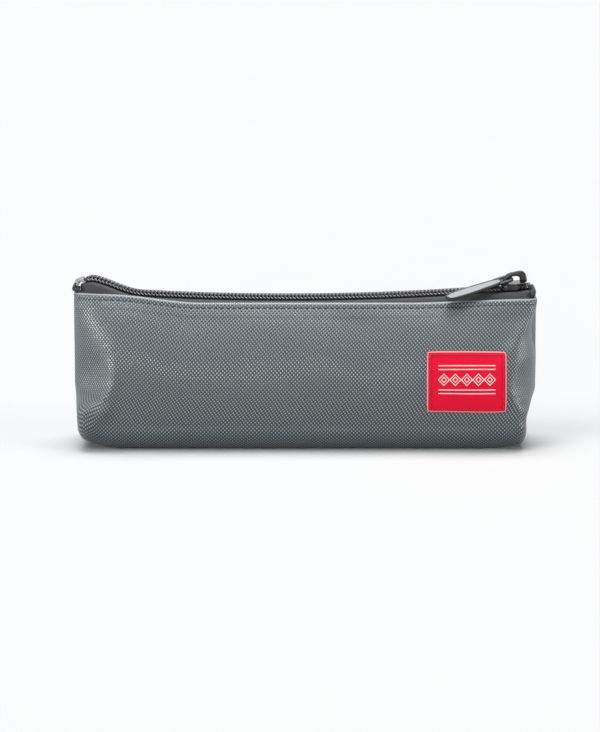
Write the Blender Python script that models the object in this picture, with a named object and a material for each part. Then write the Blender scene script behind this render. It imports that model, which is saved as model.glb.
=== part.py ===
"""A pen case: a boxed pouch of coated woven cloth with a zip along its top.

Metres, +Z up, +X to the right of someone who faces the front, and the front looks along -Y.
The origin is under the middle of the flat base. The zip's track is an arc about a line along Y
that lies high above the case, so the slider turns about that line as it runs.
"""
import math

import bmesh
import bpy
import numpy as np

# The pouch
end_reach = 0.1025
base_inset_left = 0.0016
base_inset_right = 0.004
base_half_depth = 0.021
mouth_half_depth = 0.010
wall_bulge = 0.0032
mouth_height = 0.0650
mouth_rise_left = 0.0037
mouth_rise_right = 0.0016
mouth_rise_inset = 0.0575
mouth_rise_run_left = 0.043
mouth_rise_run_right = 0.055
bottom_edge_radius = 0.0115
bottom_end_radius = 0.0028
corner_lift_left = 0.0026
corner_lift_right = 0.0008
corner_lift_inset = 0.0185
cloth_thickness = 0.0011
hem_thickness = 0.0022
hem_width = 0.008
seam_gap = 0.0003
touch_gap = 0.0003
facet_gap = 0.00045

# The rounded or folded ends of each level of the pouch, as lengths along X
bottom_corner_run = 0.008
belly_corner_run_left = 0.019
belly_corner_run_right = 0.0135
mouth_corner_run_left = 0.018
mouth_corner_run_right = 0.0055

# How square each level's end is: 1 is a straight fold, 2 is an ellipse, more is squarer
bottom_squareness = 5.0
belly_squareness_left = 1.2
belly_squareness_right = 1.5
mouth_squareness_left = 1.8
mouth_squareness_right = 3.2
belly_height_share = 0.38
fold_height_share = 0.21
end_spread_share = 0.25
belly_power = 2.2
square_end_slant = 1.0
folded_end_slant = 1.4

# How finely the cloth is divided
straight_steps = 16
corner_steps = 5
base_steps = 2
edge_steps = 3
wall_steps = 8

# The woven patch on the front
label_inset = 0.0142
label_length = 0.0349
label_bottom = 0.0184
label_height = 0.0265
label_thickness = 0.0006
label_rows = 6
label_columns = 8

# The bound seam allowances inside
binding_width = 0.008
binding_thickness = 0.0026
end_binding_first_row = 1
end_binding_last_row = 6
binding_gap = 0.0008
end_binding_gap = 0.0014
end_binding_foot_gap = 0.0040
corner_binding_half_length = 0.0105

# The zip's track: an arc that sags between its ends, curled up and over at the left
track_low_x = -0.008
track_over_hem = 0.0010
track_sag = 0.00437
curl_inset = 0.0305
curl_run = 0.024
curl_height = 0.0054
droop_inset = 0.0105
droop_radius = 0.0124

# The chain of two interlocking coils
chain_inset_left = 0.0058
chain_inset_right = 0.0042
coil_thickness = 0.0022
coil_outer_reach = 0.0029
coil_root_reach = 0.00095
coil_head_reach = 0.0006
tooth_pitch = 0.00164
tooth_width = 0.0005

# The tapes
tape_thickness = 0.0005
tape_inner_reach = 0.0013
tape_flat_reach = 0.0063
tape_inset = 0.0033
tape_end_reach_left = 0.0006
tape_end_inset_right = 0.0005
tape_end_half_width_left = 0.0046
tape_end_half_width_right = 0.0074
tape_end_rise = 0.0008
tape_end_taper = 0.0007
tape_end_bevel = 0.0004
tape_end_steps = 5
tape_end_knee_share = 0.45
tape_curl_steps = 14
tape_long_steps = 12
tape_slider_steps = 12

# The stops
top_stop_length = 0.0013
top_stop_inner_reach = 0.0008
top_stop_outer_reach = 0.0036
bottom_stop_length = 0.0044
bottom_stop_reach = 0.0029
bottom_stop_rise = 0.0005
stop_bevel = 0.0004
stop_gap = 0.0003

# The slider, in lengths from its middle along the track
slider_inset = 0.0103
slider_half_length = 0.0056
slider_tail_reach = 0.0044
slider_nose_reach = 0.0056
slider_plate_thickness = 0.0008
slider_corner = 0.0016
flange_thickness = 0.0009
flange_spread_start = -0.0030
flange_spread_end = 0.0012
coil_spread = 0.0014
post_start = 0.0016
post_end = 0.0050
post_half_width = 0.0005
plate_bevel = 0.0003
corner_cut_share = 0.25
under_plate_share = 0.25

# The crown on the slider
crown_width = 0.0019
crown_height = 0.0047
crown_left_foot = -0.0049
crown_right_foot = 0.0056
crown_wall = 0.0016
crown_right_wall = 0.0027
crown_left_wall = 0.0018
crown_steps = 14
crown_squareness = 2.4

# The puller, in lengths from the middle of the bar that goes through the crown
bar_x = -0.0011
bar_height = 0.0020
bar_half_width = 0.0005
puller_length = 0.0322
puller_half_width = 0.0033
eye_half_width = 0.0035
eye_hole_half_width = 0.00275
eye_hole_end = 0.0069
puller_thickness = 0.0013
puller_tip_radius = 0.0022
puller_rim = 0.0009
puller_field_depth = 0.00025
puller_field_start = 0.0088
puller_bevel = 0.0003
puller_turn = math.radians(-154.0)
puller_dip = math.radians(7.0)
puller_roll = math.radians(-10.0)

# One overrun serves all cuts, and faces that meet at less than these angles are shaded as one
overrun = 0.001
cloth_smooth_angle = math.radians(50.0)
crown_smooth_angle = math.radians(40.0)

# Places that follow from the lengths above
base_end_reach_left = end_reach - base_inset_left
base_end_reach_right = end_reach - base_inset_right
mouth_rise_start = end_reach - mouth_rise_inset
corner_lift_start = end_reach - corner_lift_inset
label_right = end_reach - label_inset
curl_start_x = curl_inset - end_reach
droop_start_x = droop_inset - end_reach
chain_left_x = chain_inset_left - end_reach
chain_right_x = end_reach - chain_inset_right
tape_reach = end_reach - tape_inset
slider_x = end_reach - slider_inset
track_low_z = mouth_height + track_over_hem
track_run = slider_x - track_low_x
track_radius = (track_run ** 2 + track_sag ** 2) / (2.0 * track_sag)


def clear_scene():
    """Remove every object that the file opened with."""
    for thing in list(bpy.data.objects):
        bpy.data.objects.remove(thing, do_unlink=True)


def material(name, colour, roughness, metallic=0.0):
    """A Principled material with one colour."""
    made = bpy.data.materials.new(name)
    made.use_nodes = True
    shader = made.node_tree.nodes["Principled BSDF"]
    shader.inputs["Base Color"].default_value = (*colour, 1.0)
    shader.inputs["Roughness"].default_value = roughness
    shader.inputs["Metallic"].default_value = metallic
    return made


def add_object(name, points, faces, finish, parent=None, smooth_angle=None):
    """A closed mesh object from points and faces, with its faces turned outwards."""
    mesh = bpy.data.meshes.new(name)
    mesh.from_pydata([tuple(p) for p in points], [], faces)
    shape = bmesh.new()
    shape.from_mesh(mesh)
    bmesh.ops.recalc_face_normals(shape, faces=shape.faces)
    if shape.calc_volume(signed=True) < 0.0:
        bmesh.ops.reverse_faces(shape, faces=shape.faces)
    shape.to_mesh(mesh)
    shape.free()
    if finish is not None:
        mesh.materials.append(finish)
    if smooth_angle is not None:
        mesh.shade_smooth()
        mesh.set_sharp_from_angle(angle=smooth_angle)
    made = bpy.data.objects.new(name, mesh)
    bpy.context.scene.collection.objects.link(made)
    made.parent = parent
    return made


def sheet_solid(name, outer, inner, finish, parent=None, smooth_angle=None):
    """A closed solid between two grids of points of the same size, walled along the four borders."""
    rows, columns = outer.shape[:2]
    points = np.concatenate([outer.reshape(-1, 3), inner.reshape(-1, 3)])
    shift = rows * columns

    def at(row, column, layer):
        return row * columns + column + layer * shift

    faces = []
    for r in range(rows - 1):
        for c in range(columns - 1):
            faces.append((at(r, c, 0), at(r, c + 1, 0), at(r + 1, c + 1, 0), at(r + 1, c, 0)))
            faces.append((at(r, c, 1), at(r + 1, c, 1), at(r + 1, c + 1, 1), at(r, c + 1, 1)))
    for c in range(columns - 1):
        for r in (0, rows - 1):
            faces.append((at(r, c, 0), at(r, c + 1, 0), at(r, c + 1, 1), at(r, c, 1)))
    for r in range(rows - 1):
        for c in (0, columns - 1):
            faces.append((at(r, c, 0), at(r + 1, c, 0), at(r + 1, c, 1), at(r, c, 1)))
    return add_object(name, points, faces, finish, parent, smooth_angle)


def prism(name, outline, low, high, finish, parent=None):
    """An outline in the XY plane raised from one height to another."""
    count = len(outline)
    points = [(x, y, low) for x, y in outline] + [(x, y, high) for x, y in outline]
    faces = [tuple(range(count)), tuple(range(count, 2 * count))]
    for i in range(count):
        j = (i + 1) % count
        faces.append((i, j, j + count, i + count))
    return add_object(name, points, faces, finish, parent)


def add_boolean(target, other, operation):
    """Join another solid to the target or cut it away, and hide the other one."""
    other.hide_render = True
    other.display_type = "WIRE"
    step = target.modifiers.new(other.name, "BOOLEAN")
    step.operation = operation
    step.solver = "EXACT"
    step.object = other


def add_bevel(target, width, segments=1):
    """Round the sharp edges of the target."""
    step = target.modifiers.new("edges", "BEVEL")
    step.width = width
    step.segments = segments
    step.limit_method = "ANGLE"


def ease(value):
    """A smooth step from 0 to 1 as the value goes from 0 to 1."""
    held = np.clip(value, 0.0, 1.0)
    return held * held * (3.0 - 2.0 * held)


def mouth_z(x):
    """Height of the folded hem along the mouth, which rises towards both ends."""
    left = mouth_rise_left * ease((-x - mouth_rise_start) / mouth_rise_run_left)
    right = mouth_rise_right * ease((x - mouth_rise_start) / mouth_rise_run_right)
    return mouth_height + left + right


def corner_lift(x):
    """How far the base lifts off the ground towards its two ends."""
    run_left = base_end_reach_left - corner_lift_start
    run_right = base_end_reach_right - corner_lift_start
    left = corner_lift_left * ease((-x - corner_lift_start) / run_left)
    right = corner_lift_right * ease((x - corner_lift_start) / run_right)
    return left + right


def between(share, bottom, belly, mouth, turn_share=belly_height_share):
    """A value that eases from the bottom's to the belly's and on to the mouth's up the wall."""
    low = ease(share / turn_share)
    high = ease((share - turn_share) / (1.0 - turn_share))
    return bottom + (belly - bottom) * low + (mouth - belly) * high


def end_slant(share):
    """How much longer a wall's thickness is along X where the end is folded and not square."""
    return between(share, square_end_slant, folded_end_slant, square_end_slant,
                   fold_height_share)


def level_shape(share):
    """Reaches to both ends, half depth, corner runs and squareness at a share of the height."""
    spread = ease(share / end_spread_share)
    reaches = (
        base_end_reach_left + (end_reach - base_end_reach_left) * spread,
        base_end_reach_right + (end_reach - base_end_reach_right) * spread,
    )
    lean = share ** belly_power
    depth = base_half_depth * (1.0 - lean) + mouth_half_depth * lean
    depth += wall_bulge * 4.0 * share * (1.0 - share)
    runs = (
        between(share, bottom_corner_run, belly_corner_run_left, mouth_corner_run_left),
        between(share, bottom_corner_run, belly_corner_run_right, mouth_corner_run_right),
    )
    squareness = (
        between(share, bottom_squareness, belly_squareness_left, mouth_squareness_left,
                fold_height_share),
        between(share, bottom_squareness, belly_squareness_right, mouth_squareness_right,
                fold_height_share),
    )
    return reaches, depth, runs, squareness


def drawn_in(reaches, length):
    """Both reaches, less a length."""
    return (reaches[0] - length, reaches[1] - length)


def outline_points(reaches, depth, runs, squareness):
    """X and depth of one level, from the left end seam round the front to the right end seam."""
    turn = np.linspace(0.0, math.pi / 2, corner_steps + 1)
    sides = []
    for reach, run, power in zip(reaches, runs, squareness):
        along = run * np.sin(turn) ** (2.0 / power)
        across = depth * np.cos(turn) ** (2.0 / power)
        sides.append((reach - run + along, across))
    straight = np.linspace(runs[0] - reaches[0], reaches[1] - runs[1], straight_steps + 1)[1:-1]
    x = np.concatenate([-sides[0][0][::-1], straight, sides[1][0]])
    y = np.concatenate([sides[0][1][::-1], np.full(straight.shape, depth), sides[1][1]])
    return x, y


def wall_depth(x, share, inset):
    """Depth of the wall at a place along X and a share of its height, less an inset."""
    reaches, depth, runs, squareness = level_shape(share)
    reaches = drawn_in(reaches, inset * end_slant(share))
    line_x, line_depth = outline_points(reaches, depth - inset, runs, squareness)
    return float(np.interp(x, line_x, line_depth))


def wall_z(x, share):
    """Height of the wall at a share of the way from its bottom edge to the hem."""
    foot = bottom_edge_radius + corner_lift(x)
    return foot + share * (mouth_z(x) - foot)


def share_at(x, z):
    """The share of the wall's height that lies at a height."""
    foot = bottom_edge_radius + corner_lift(x)
    return (z - foot) / (mouth_z(x) - foot)


def wall_rows():
    """Shares of the wall's height at which the cloth has a row of points, below the hem."""
    return np.linspace(0.0, 1.0 - hem_width / mouth_height, wall_steps)


def panel_grid(inset, hem_inset, side):
    """Grid of one face of a panel, from the base seam out, round the edge and up to the hem."""
    seam = seam_gap / 2
    rows = []
    flat_depth = base_half_depth - bottom_edge_radius
    flat_reaches = drawn_in((base_end_reach_left, base_end_reach_right), bottom_end_radius)
    runs = (bottom_corner_run, bottom_corner_run)
    squareness = (bottom_squareness, bottom_squareness)

    def add_row(reaches, depth, runs, squareness, height):
        x, y = outline_points(reaches, depth - seam, runs, squareness)
        rows.append(np.stack([x, side * (y + seam), height(x)], axis=1))

    for share in np.linspace(0.0, 1.0, base_steps + 1):
        reaches = drawn_in(flat_reaches, bottom_corner_run * (1.0 - share))
        depth = seam + (flat_depth - seam) * share
        add_row(reaches, depth, runs, squareness, lambda x: inset + corner_lift(x))
    edge_radius = bottom_edge_radius - inset
    end_radius = bottom_end_radius - inset
    for turn in np.linspace(0.0, math.pi / 2, edge_steps + 1)[1:]:
        reaches = drawn_in(flat_reaches, -end_radius * math.sin(turn))
        depth = flat_depth + edge_radius * math.sin(turn)
        z = bottom_edge_radius - edge_radius * math.cos(turn)
        add_row(reaches, depth, runs, squareness, lambda x: z + corner_lift(x))
    shares = list(wall_rows()[1:]) + [1.0]
    for share in shares:
        reaches, depth, runs, squareness = level_shape(share)
        hold = hem_inset if share >= shares[-2] else inset
        add_row(drawn_in(reaches, hold * end_slant(share)), depth - hold, runs, squareness,
                lambda x: wall_z(x, share))
    return np.array(rows)


def build_panel(name, side, finish):
    """One of the two cloth panels: half the base, half of each end, one wall and its hem."""
    outer = panel_grid(0.0, 0.0, side)
    inner = panel_grid(cloth_thickness, hem_thickness, side)
    return sheet_solid(name, outer, inner, finish, smooth_angle=cloth_smooth_angle)


def build_label(finish):
    """The woven patch, which follows the front wall with a hair's gap."""
    def face(inset):
        rows = []
        for z in np.linspace(label_bottom, label_bottom + label_height, label_rows):
            row = []
            for x in np.linspace(label_right - label_length, label_right, label_columns):
                row.append((x, -wall_depth(x, share_at(x, z), 0.0) - inset, z))
            rows.append(row)
        return np.array(rows)

    near = touch_gap
    far = touch_gap + label_thickness
    return sheet_solid("label", face(far), face(near), finish)


def build_end_binding(name, side, finish):
    """The bound allowance of an upright end seam, standing inwards from the seam."""
    half = binding_thickness / 2
    front = []
    back = []
    shares = wall_rows()[end_binding_first_row:end_binding_last_row + 1]
    for share in shares:
        reaches, depth, runs, squareness = level_shape(share)
        reaches = drawn_in(reaches, cloth_thickness * end_slant(share))
        x, y = outline_points(reaches, depth - cloth_thickness, runs, squareness)
        ends = slice(corner_steps + 1) if side < 0 else slice(None, -corner_steps - 2, -1)
        gap = end_binding_foot_gap if share <= shares[1] else end_binding_gap
        seat = np.interp(half + gap, y[ends], np.abs(x[ends]))
        z = wall_z(side * seat, share)
        front.append([(side * seat, -half, z), (side * (seat - binding_width), -half, z)])
        back.append([(side * seat, half, z), (side * (seat - binding_width), half, z)])
    return sheet_solid(name, np.array(front), np.array(back), finish)


def build_floor_strip(name, x_places, y_low, y_high, gap, finish):
    """A bound allowance that lies flat on the inside of the base."""
    low = []
    high = []
    for x in x_places:
        z = cloth_thickness + gap + corner_lift(x)
        low.append([(x, y_low, z), (x, y_high, z)])
        high.append([(x, y_low, z + binding_thickness), (x, y_high, z + binding_thickness)])
    return sheet_solid(name, np.array(high), np.array(low), finish)


def build_bindings(finish):
    """The five bound seam allowances."""
    build_end_binding("end_binding_left", -1, finish)
    build_end_binding("end_binding_right", 1, finish)
    ends = []
    for name, side, reach in (("corner_binding_left", -1, base_end_reach_left),
                              ("corner_binding_right", 1, base_end_reach_right)):
        outer = reach - bottom_end_radius - binding_gap
        places = side * np.linspace(outer - binding_width, outer, 3)
        ends.append(side * (outer - binding_width - touch_gap))
        build_floor_strip(name, places, -corner_binding_half_length,
                          corner_binding_half_length, binding_gap, finish)
    places = np.linspace(ends[0], ends[1], 3)
    build_floor_strip("base_binding", places, 0.0, binding_width, touch_gap, finish)


def track_angle(x):
    """Angle about the track's centre at a place along X."""
    return math.asin((x - track_low_x) / track_radius)


def track_point(x, y, height):
    """A point over the zip: a place along X on the chain's middle line, then out and up from it."""
    angle = track_angle(x)
    radius = track_radius - height
    curl = curl_height * float(ease((curl_start_x - x) / curl_run))
    droop = max(droop_start_x - x, 0.0) ** 2 / (2.0 * droop_radius)
    px = track_low_x + radius * math.sin(angle)
    pz = track_low_z + track_radius - radius * math.cos(angle) + curl - droop
    return (px, y, pz)


def spread_at(x):
    """How far each coil has moved out from the middle, which it does inside the slider."""
    run = (x - slider_x - flange_spread_start) / (flange_spread_end - flange_spread_start)
    return coil_spread * float(ease(run))


def build_coil(name, side, first_tooth, finish):
    """One half of the chain: a band with a head at each pitch, heads fitting between the other's."""
    top = coil_thickness / 2
    places = []
    x = chain_left_x
    places.append((x, False))
    tooth = chain_left_x + first_tooth
    while tooth + tooth_width < chain_right_x:
        places.append((tooth, True))
        places.append((tooth + tooth_width, True))
        tooth += tooth_pitch
    places.append((chain_right_x, False))
    points = []
    for x, has_head in places:
        out = spread_at(x)
        for height in (top, -top):
            points.append(track_point(x, side * (coil_outer_reach + out), height))
            points.append(track_point(x, side * (coil_root_reach + out), height))
            if has_head:
                points.append(track_point(x, side * (out - coil_head_reach), height))
    starts = []
    count = 0
    for x, has_head in places:
        starts.append(count)
        count += 6 if has_head else 4
    faces = []
    for i in range(len(places) - 1):
        a = starts[i]
        b = starts[i + 1]
        da = 3 if places[i][1] else 2
        db = 3 if places[i + 1][1] else 2
        faces.append((a, b, b + 1, a + 1))
        faces.append((a + da, a + da + 1, b + db + 1, b + db))
        faces.append((a, a + da, b + db, b))
        head = places[i][1] and places[i + 1][1] and i % 2 == 1
        if head:
            faces.append((a + 1, b + 1, b + 2, a + 2))
            faces.append((a + 4, a + 5, b + 5, b + 4))
            faces.append((a + 1, a + 2, a + 5, a + 4))
            faces.append((b + 1, b + 4, b + 5, b + 2))
            faces.append((a + 2, b + 2, b + 5, a + 5))
        else:
            faces.append((a + 1, b + 1, b + db + 1, a + da + 1))
    last = starts[-1]
    faces.append((0, 1, 3, 2))
    faces.append((last, last + 2, last + 3, last + 1))
    return add_object(name, points, faces, finish)


def tape_section(x, side):
    """Upper face of a tape across one place: from under the coil out, then down behind the hem."""
    level = -coil_thickness / 2 - touch_gap
    hem_room = wall_depth(x, 1.0, hem_thickness) - facet_gap
    flat = min(tape_flat_reach, hem_room - tape_thickness / 2)
    inner = track_point(x, side * tape_inner_reach, level)
    outer = track_point(x, side * flat, level)
    line = [np.array(inner), np.array(outer)]
    drops = (0.0, hem_width / 2, hem_width - seam_gap)
    for drop in drops:
        share = 1.0 - drop / mouth_height
        depth = wall_depth(x, share, hem_thickness) - facet_gap
        z = wall_z(x, share) - tape_thickness * (1.0 if drop == 0.0 else 0.0)
        line.append(np.array((outer[0], side * depth, z)))
    return np.array(line)


def tape_places():
    """Places along X of a tape's rows: close together in the curl and under the slider."""
    slider_tail = slider_x - slider_half_length
    curl = np.linspace(-tape_reach, curl_start_x, tape_curl_steps + 1)[:-1]
    run = np.linspace(curl_start_x, slider_tail, tape_long_steps + 1)[:-1]
    end = np.linspace(slider_tail, tape_reach, tape_slider_steps + 1)
    return np.concatenate([curl, run, end])


def build_tape(name, side, finish):
    """A zip tape: flat under its coil, then turned down and lapped behind the hem."""
    upper = []
    lower = []
    for x in tape_places():
        line = tape_section(x, side)
        step = np.gradient(line[:, 1:], axis=0)
        step /= np.linalg.norm(step, axis=1)[:, None]
        normal = np.stack([np.zeros(len(line)), side * step[:, 1], -side * step[:, 0]], axis=1)
        upper.append(line)
        lower.append(line + tape_thickness * normal)
    return sheet_solid(name, np.array(upper), np.array(lower), finish,
                       smooth_angle=cloth_smooth_angle)


def build_tape_end(name, side, inner_x, outer_x, rise, half_width, finish):
    """The folded ends of both tapes: under the stop, then up past it and over, down to the hem."""
    foot_x = side * (tape_reach + touch_gap)
    foot_top = track_point(inner_x, 0.0, -coil_thickness / 2)[2] - touch_gap
    top_z = track_point(inner_x, 0.0, 0.0)[2] + rise
    low_z = mouth_z(inner_x) + touch_gap
    knee_z = low_z + tape_end_knee_share * (top_z - low_z)
    outline = [(foot_x, low_z), (foot_x, foot_top), (inner_x, foot_top)]
    for turn in np.linspace(0.0, math.pi / 2, tape_end_steps):
        x = inner_x + (outer_x - inner_x) * math.sin(turn)
        outline.append((x, knee_z + (top_z - knee_z) * math.cos(turn)))
    outline.append((outer_x - side * tape_end_taper, low_z))
    front = [(x, -half_width, z) for x, z in outline]
    back = [(x, half_width, z) for x, z in outline]
    count = len(outline)
    faces = [tuple(range(count)), tuple(range(count, 2 * count))]
    for i in range(count):
        j = (i + 1) % count
        faces.append((i, j, j + count, i + count))
    made = add_object(name, front + back, faces, finish)
    add_bevel(made, tape_end_bevel)
    return made


def build_tape_ends(finish):
    """The folded tape ends past the bottom stop at the left and past the top stops at the right."""
    past_left = chain_left_x - stop_gap - bottom_stop_length - touch_gap
    build_tape_end("tape_end_left", -1, past_left, -end_reach - tape_end_reach_left,
                   tape_end_rise, tape_end_half_width_left, finish)
    past_right = chain_right_x + stop_gap + top_stop_length + touch_gap
    build_tape_end("tape_end_right", 1, past_right, end_reach - tape_end_inset_right, 0.0,
                   tape_end_half_width_right, finish)


def build_stop(name, x_left, length, y_low, y_high, rise, finish):
    """A stop: a small rounded block over the chain's end, on the tapes."""
    low = -coil_thickness / 2
    high = coil_thickness / 2 + rise
    lower = []
    upper = []
    for x in (x_left, x_left + length):
        lower.append([track_point(x, y_low, low), track_point(x, y_high, low)])
        upper.append([track_point(x, y_low, high), track_point(x, y_high, high)])
    made = sheet_solid(name, np.array(upper), np.array(lower), finish)
    add_bevel(made, stop_bevel, segments=2)
    return made


def build_stops(plastic, bright):
    """The two top stops at the right and the one bottom stop at the left."""
    for name, side in (("top_stop_front", -1), ("top_stop_back", 1)):
        reaches = sorted((side * top_stop_inner_reach, side * top_stop_outer_reach))
        build_stop(name, chain_right_x + stop_gap, top_stop_length, reaches[0], reaches[1], 0.0,
                   plastic)
    left = chain_left_x - stop_gap - bottom_stop_length
    build_stop("bottom_stop", left, bottom_stop_length, -bottom_stop_reach, bottom_stop_reach,
               bottom_stop_rise, bright)


def slider_pivot():
    """An empty on the track's centre, turned so that its -Z axis points at the slider."""
    pivot = bpy.data.objects.new("slider_pivot", None)
    bpy.context.scene.collection.objects.link(pivot)
    pivot.location = (track_low_x, 0.0, track_low_z + track_radius)
    pivot.rotation_euler = (0.0, -track_angle(slider_x), 0.0)
    return pivot


def plate_outline(overhang):
    """Plan of the slider's plates: rounded, and wider at the nose, where the two coils come in."""
    half = []
    half.append((-slider_half_length, slider_tail_reach - slider_corner))
    half.append((-slider_half_length + slider_corner / 2, slider_tail_reach - slider_corner * corner_cut_share))
    half.append((-slider_half_length + slider_corner, slider_tail_reach))
    half.append((flange_spread_start, slider_tail_reach))
    half.append((flange_spread_end, slider_nose_reach))
    half.append((slider_half_length - slider_corner, slider_nose_reach))
    half.append((slider_half_length - slider_corner * corner_cut_share, slider_nose_reach - slider_corner / 2))
    half.append((slider_half_length, slider_nose_reach - slider_corner))
    front = [(x, -(y - overhang)) for x, y in half]
    back = [(x, y - overhang) for x, y in reversed(half)]
    return front + back


def flange_outline(side):
    """Plan of a side flange: it keeps the coil in and follows it as it spreads."""
    inner = slider_tail_reach - flange_thickness
    spread = slider_nose_reach - flange_thickness
    outer_line = [
        (-slider_half_length + slider_corner, slider_tail_reach),
        (flange_spread_start, slider_tail_reach),
        (flange_spread_end, slider_nose_reach),
        (slider_half_length - slider_corner, slider_nose_reach),
    ]
    inner_line = [
        (slider_half_length - slider_corner, spread),
        (flange_spread_end, spread),
        (flange_spread_start, inner),
        (-slider_half_length + slider_corner, inner),
    ]
    return [(x, side * y) for x, y in outer_line + inner_line]


def post_outline():
    """Plan of the diamond post that parts the coils."""
    middle = (post_start + post_end) / 2
    return [
        (post_start, 0.0),
        (middle, -post_half_width),
        (post_end, -post_half_width),
        (post_end, post_half_width),
        (middle, post_half_width),
    ]


def build_slider_body(pivot, finish):
    """Two plates joined by the post, with flanges that leave a slot for each tape."""
    chain_top = coil_thickness / 2 + touch_gap
    tape_low = -coil_thickness / 2 - touch_gap - tape_thickness
    plate_low = tape_low - touch_gap
    slot_top = -coil_thickness / 2
    bury = slider_plate_thickness / 2
    base = -track_radius
    body = prism("slider_body", plate_outline(0.0), base + chain_top,
                 base + chain_top + slider_plate_thickness, finish, pivot)
    add_bevel(body, plate_bevel)
    under = prism("slider_under_plate", plate_outline(flange_thickness * under_plate_share),
                  base + plate_low - slider_plate_thickness, base + plate_low, None, pivot)
    add_bevel(under, plate_bevel)
    post = prism("slider_post", post_outline(), base + plate_low - bury, base + chain_top + bury,
                 None, pivot)
    add_boolean(body, post, "UNION")
    add_boolean(body, under, "UNION")
    for label, side in (("slider_flange_front", -1), ("slider_flange_back", 1)):
        flange = prism(label, flange_outline(side), base + slot_top, base + chain_top + bury,
                       None, pivot)
        add_boolean(body, flange, "UNION")
    return body


def crown_lines():
    """Outer and inner line of the crown in the slider's XZ plane, foot to foot."""
    foot = coil_thickness / 2 + touch_gap + slider_plate_thickness + touch_gap
    middle = (crown_left_foot + crown_right_foot) / 2
    half = (crown_right_foot - crown_left_foot) / 2
    inner_left = crown_left_foot + crown_left_wall
    inner_right = crown_right_foot - crown_right_wall
    inner_middle = (inner_left + inner_right) / 2
    inner_half = (inner_right - inner_left) / 2
    turn = np.linspace(math.pi, 0.0, crown_steps + 1)
    bend = 2.0 / crown_squareness
    sign = np.sign(np.cos(turn))
    outer_x = middle + half * sign * np.abs(np.cos(turn)) ** bend
    outer_z = foot + crown_height * np.sin(turn) ** bend
    inner_x = inner_middle + inner_half * sign * np.abs(np.cos(turn)) ** bend
    inner_z = foot + (crown_height - crown_wall) * np.sin(turn) ** bend
    return np.stack([outer_x, outer_z], axis=1), np.stack([inner_x, inner_z], axis=1)


def build_crown(pivot, finish):
    """The arch on the slider: the puller's bar goes through it from side to side."""
    outer_line, inner_line = crown_lines()
    half = crown_width / 2

    def face(line):
        front = [(x, -half, z - track_radius) for x, z in line]
        back = [(x, half, z - track_radius) for x, z in line]
        return np.array([front, back])

    crown = sheet_solid("slider_crown", face(outer_line), face(inner_line), finish, pivot,
                        smooth_angle=crown_smooth_angle)
    add_bevel(crown, plate_bevel)
    return crown


def bar_place():
    """The middle of the puller's bar, in the slider's own frame."""
    plate_top = coil_thickness / 2 + touch_gap + slider_plate_thickness
    return (bar_x, 0.0, plate_top + bar_height - track_radius)


def puller_outline():
    """Plan of the puller: a wider eye, a long tab and a rounded tip."""
    tip = []
    for turn in np.linspace(0.0, math.pi / 2, 5):
        x = puller_length - puller_tip_radius + puller_tip_radius * math.sin(turn)
        y = puller_half_width - puller_tip_radius + puller_tip_radius * math.cos(turn)
        tip.append((x, y))
    half = [
        (-bar_half_width, eye_half_width - bar_half_width),
        (0.0, eye_half_width),
        (eye_hole_end, eye_half_width),
        (puller_field_start, puller_half_width),
    ]
    half += tip
    return [(x, -y) for x, y in half] + [(x, y) for x, y in reversed(half)]


def build_puller(pivot, finish):
    """The tab: its bar lies in the crown, and the crown stands through its eye."""
    half = puller_thickness / 2
    puller = prism("puller", puller_outline(), -half, half, finish, pivot)
    puller.location = bar_place()
    puller.rotation_euler = (puller_roll, puller_dip, puller_turn)
    add_bevel(puller, puller_bevel, segments=2)
    hole = [
        (bar_half_width, -eye_hole_half_width),
        (eye_hole_end, -eye_hole_half_width),
        (eye_hole_end, eye_hole_half_width),
        (bar_half_width, eye_hole_half_width),
    ]
    eye = prism("puller_eye_cut", hole, -half - overrun, half + overrun, None, puller)
    add_boolean(puller, eye, "DIFFERENCE")
    field_half = puller_half_width - puller_rim
    field_end = puller_length - puller_rim
    corner = puller_tip_radius - puller_rim
    field = [
        (puller_field_start, -field_half),
        (field_end - corner, -field_half),
        (field_end, -field_half + corner),
        (field_end, field_half - corner),
        (field_end - corner, field_half),
        (puller_field_start, field_half),
    ]
    for name, low, high in (
        ("puller_top_field_cut", half - puller_field_depth, half + overrun),
        ("puller_under_field_cut", -half - overrun, -half + puller_field_depth),
    ):
        cut = prism(name, field, low, high, None, puller)
        add_boolean(puller, cut, "DIFFERENCE")
    return puller


def main():
    """Build the whole case."""
    clear_scene()
    cloth = material("cloth", (0.115, 0.145, 0.158), 0.75)
    patch = material("patch", (0.72, 0.012, 0.04), 0.7)
    binding = material("binding", (0.02, 0.021, 0.023), 0.85)
    tape = material("tape", (0.011, 0.012, 0.013), 0.85)
    nylon = material("nylon", (0.018, 0.018, 0.019), 0.35)
    black_metal = material("black_metal", (0.016, 0.016, 0.017), 0.25, 0.3)
    bright_metal = material("bright_metal", (0.75, 0.75, 0.76), 0.25, 1.0)
    build_panel("front_panel", -1, cloth)
    build_panel("back_panel", 1, cloth)
    build_label(patch)
    build_bindings(binding)
    build_tape("zip_tape_front", -1, tape)
    build_tape("zip_tape_back", 1, tape)
    build_coil("zip_coil_front", -1, tooth_pitch / 2 - tooth_width / 2, nylon)
    build_coil("zip_coil_back", 1, tooth_pitch - tooth_width / 2, nylon)
    build_tape_ends(tape)
    build_stops(nylon, bright_metal)
    pivot = slider_pivot()
    build_slider_body(pivot, black_metal)
    build_crown(pivot, black_metal)
    build_puller(pivot, black_metal)


main()
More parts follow.
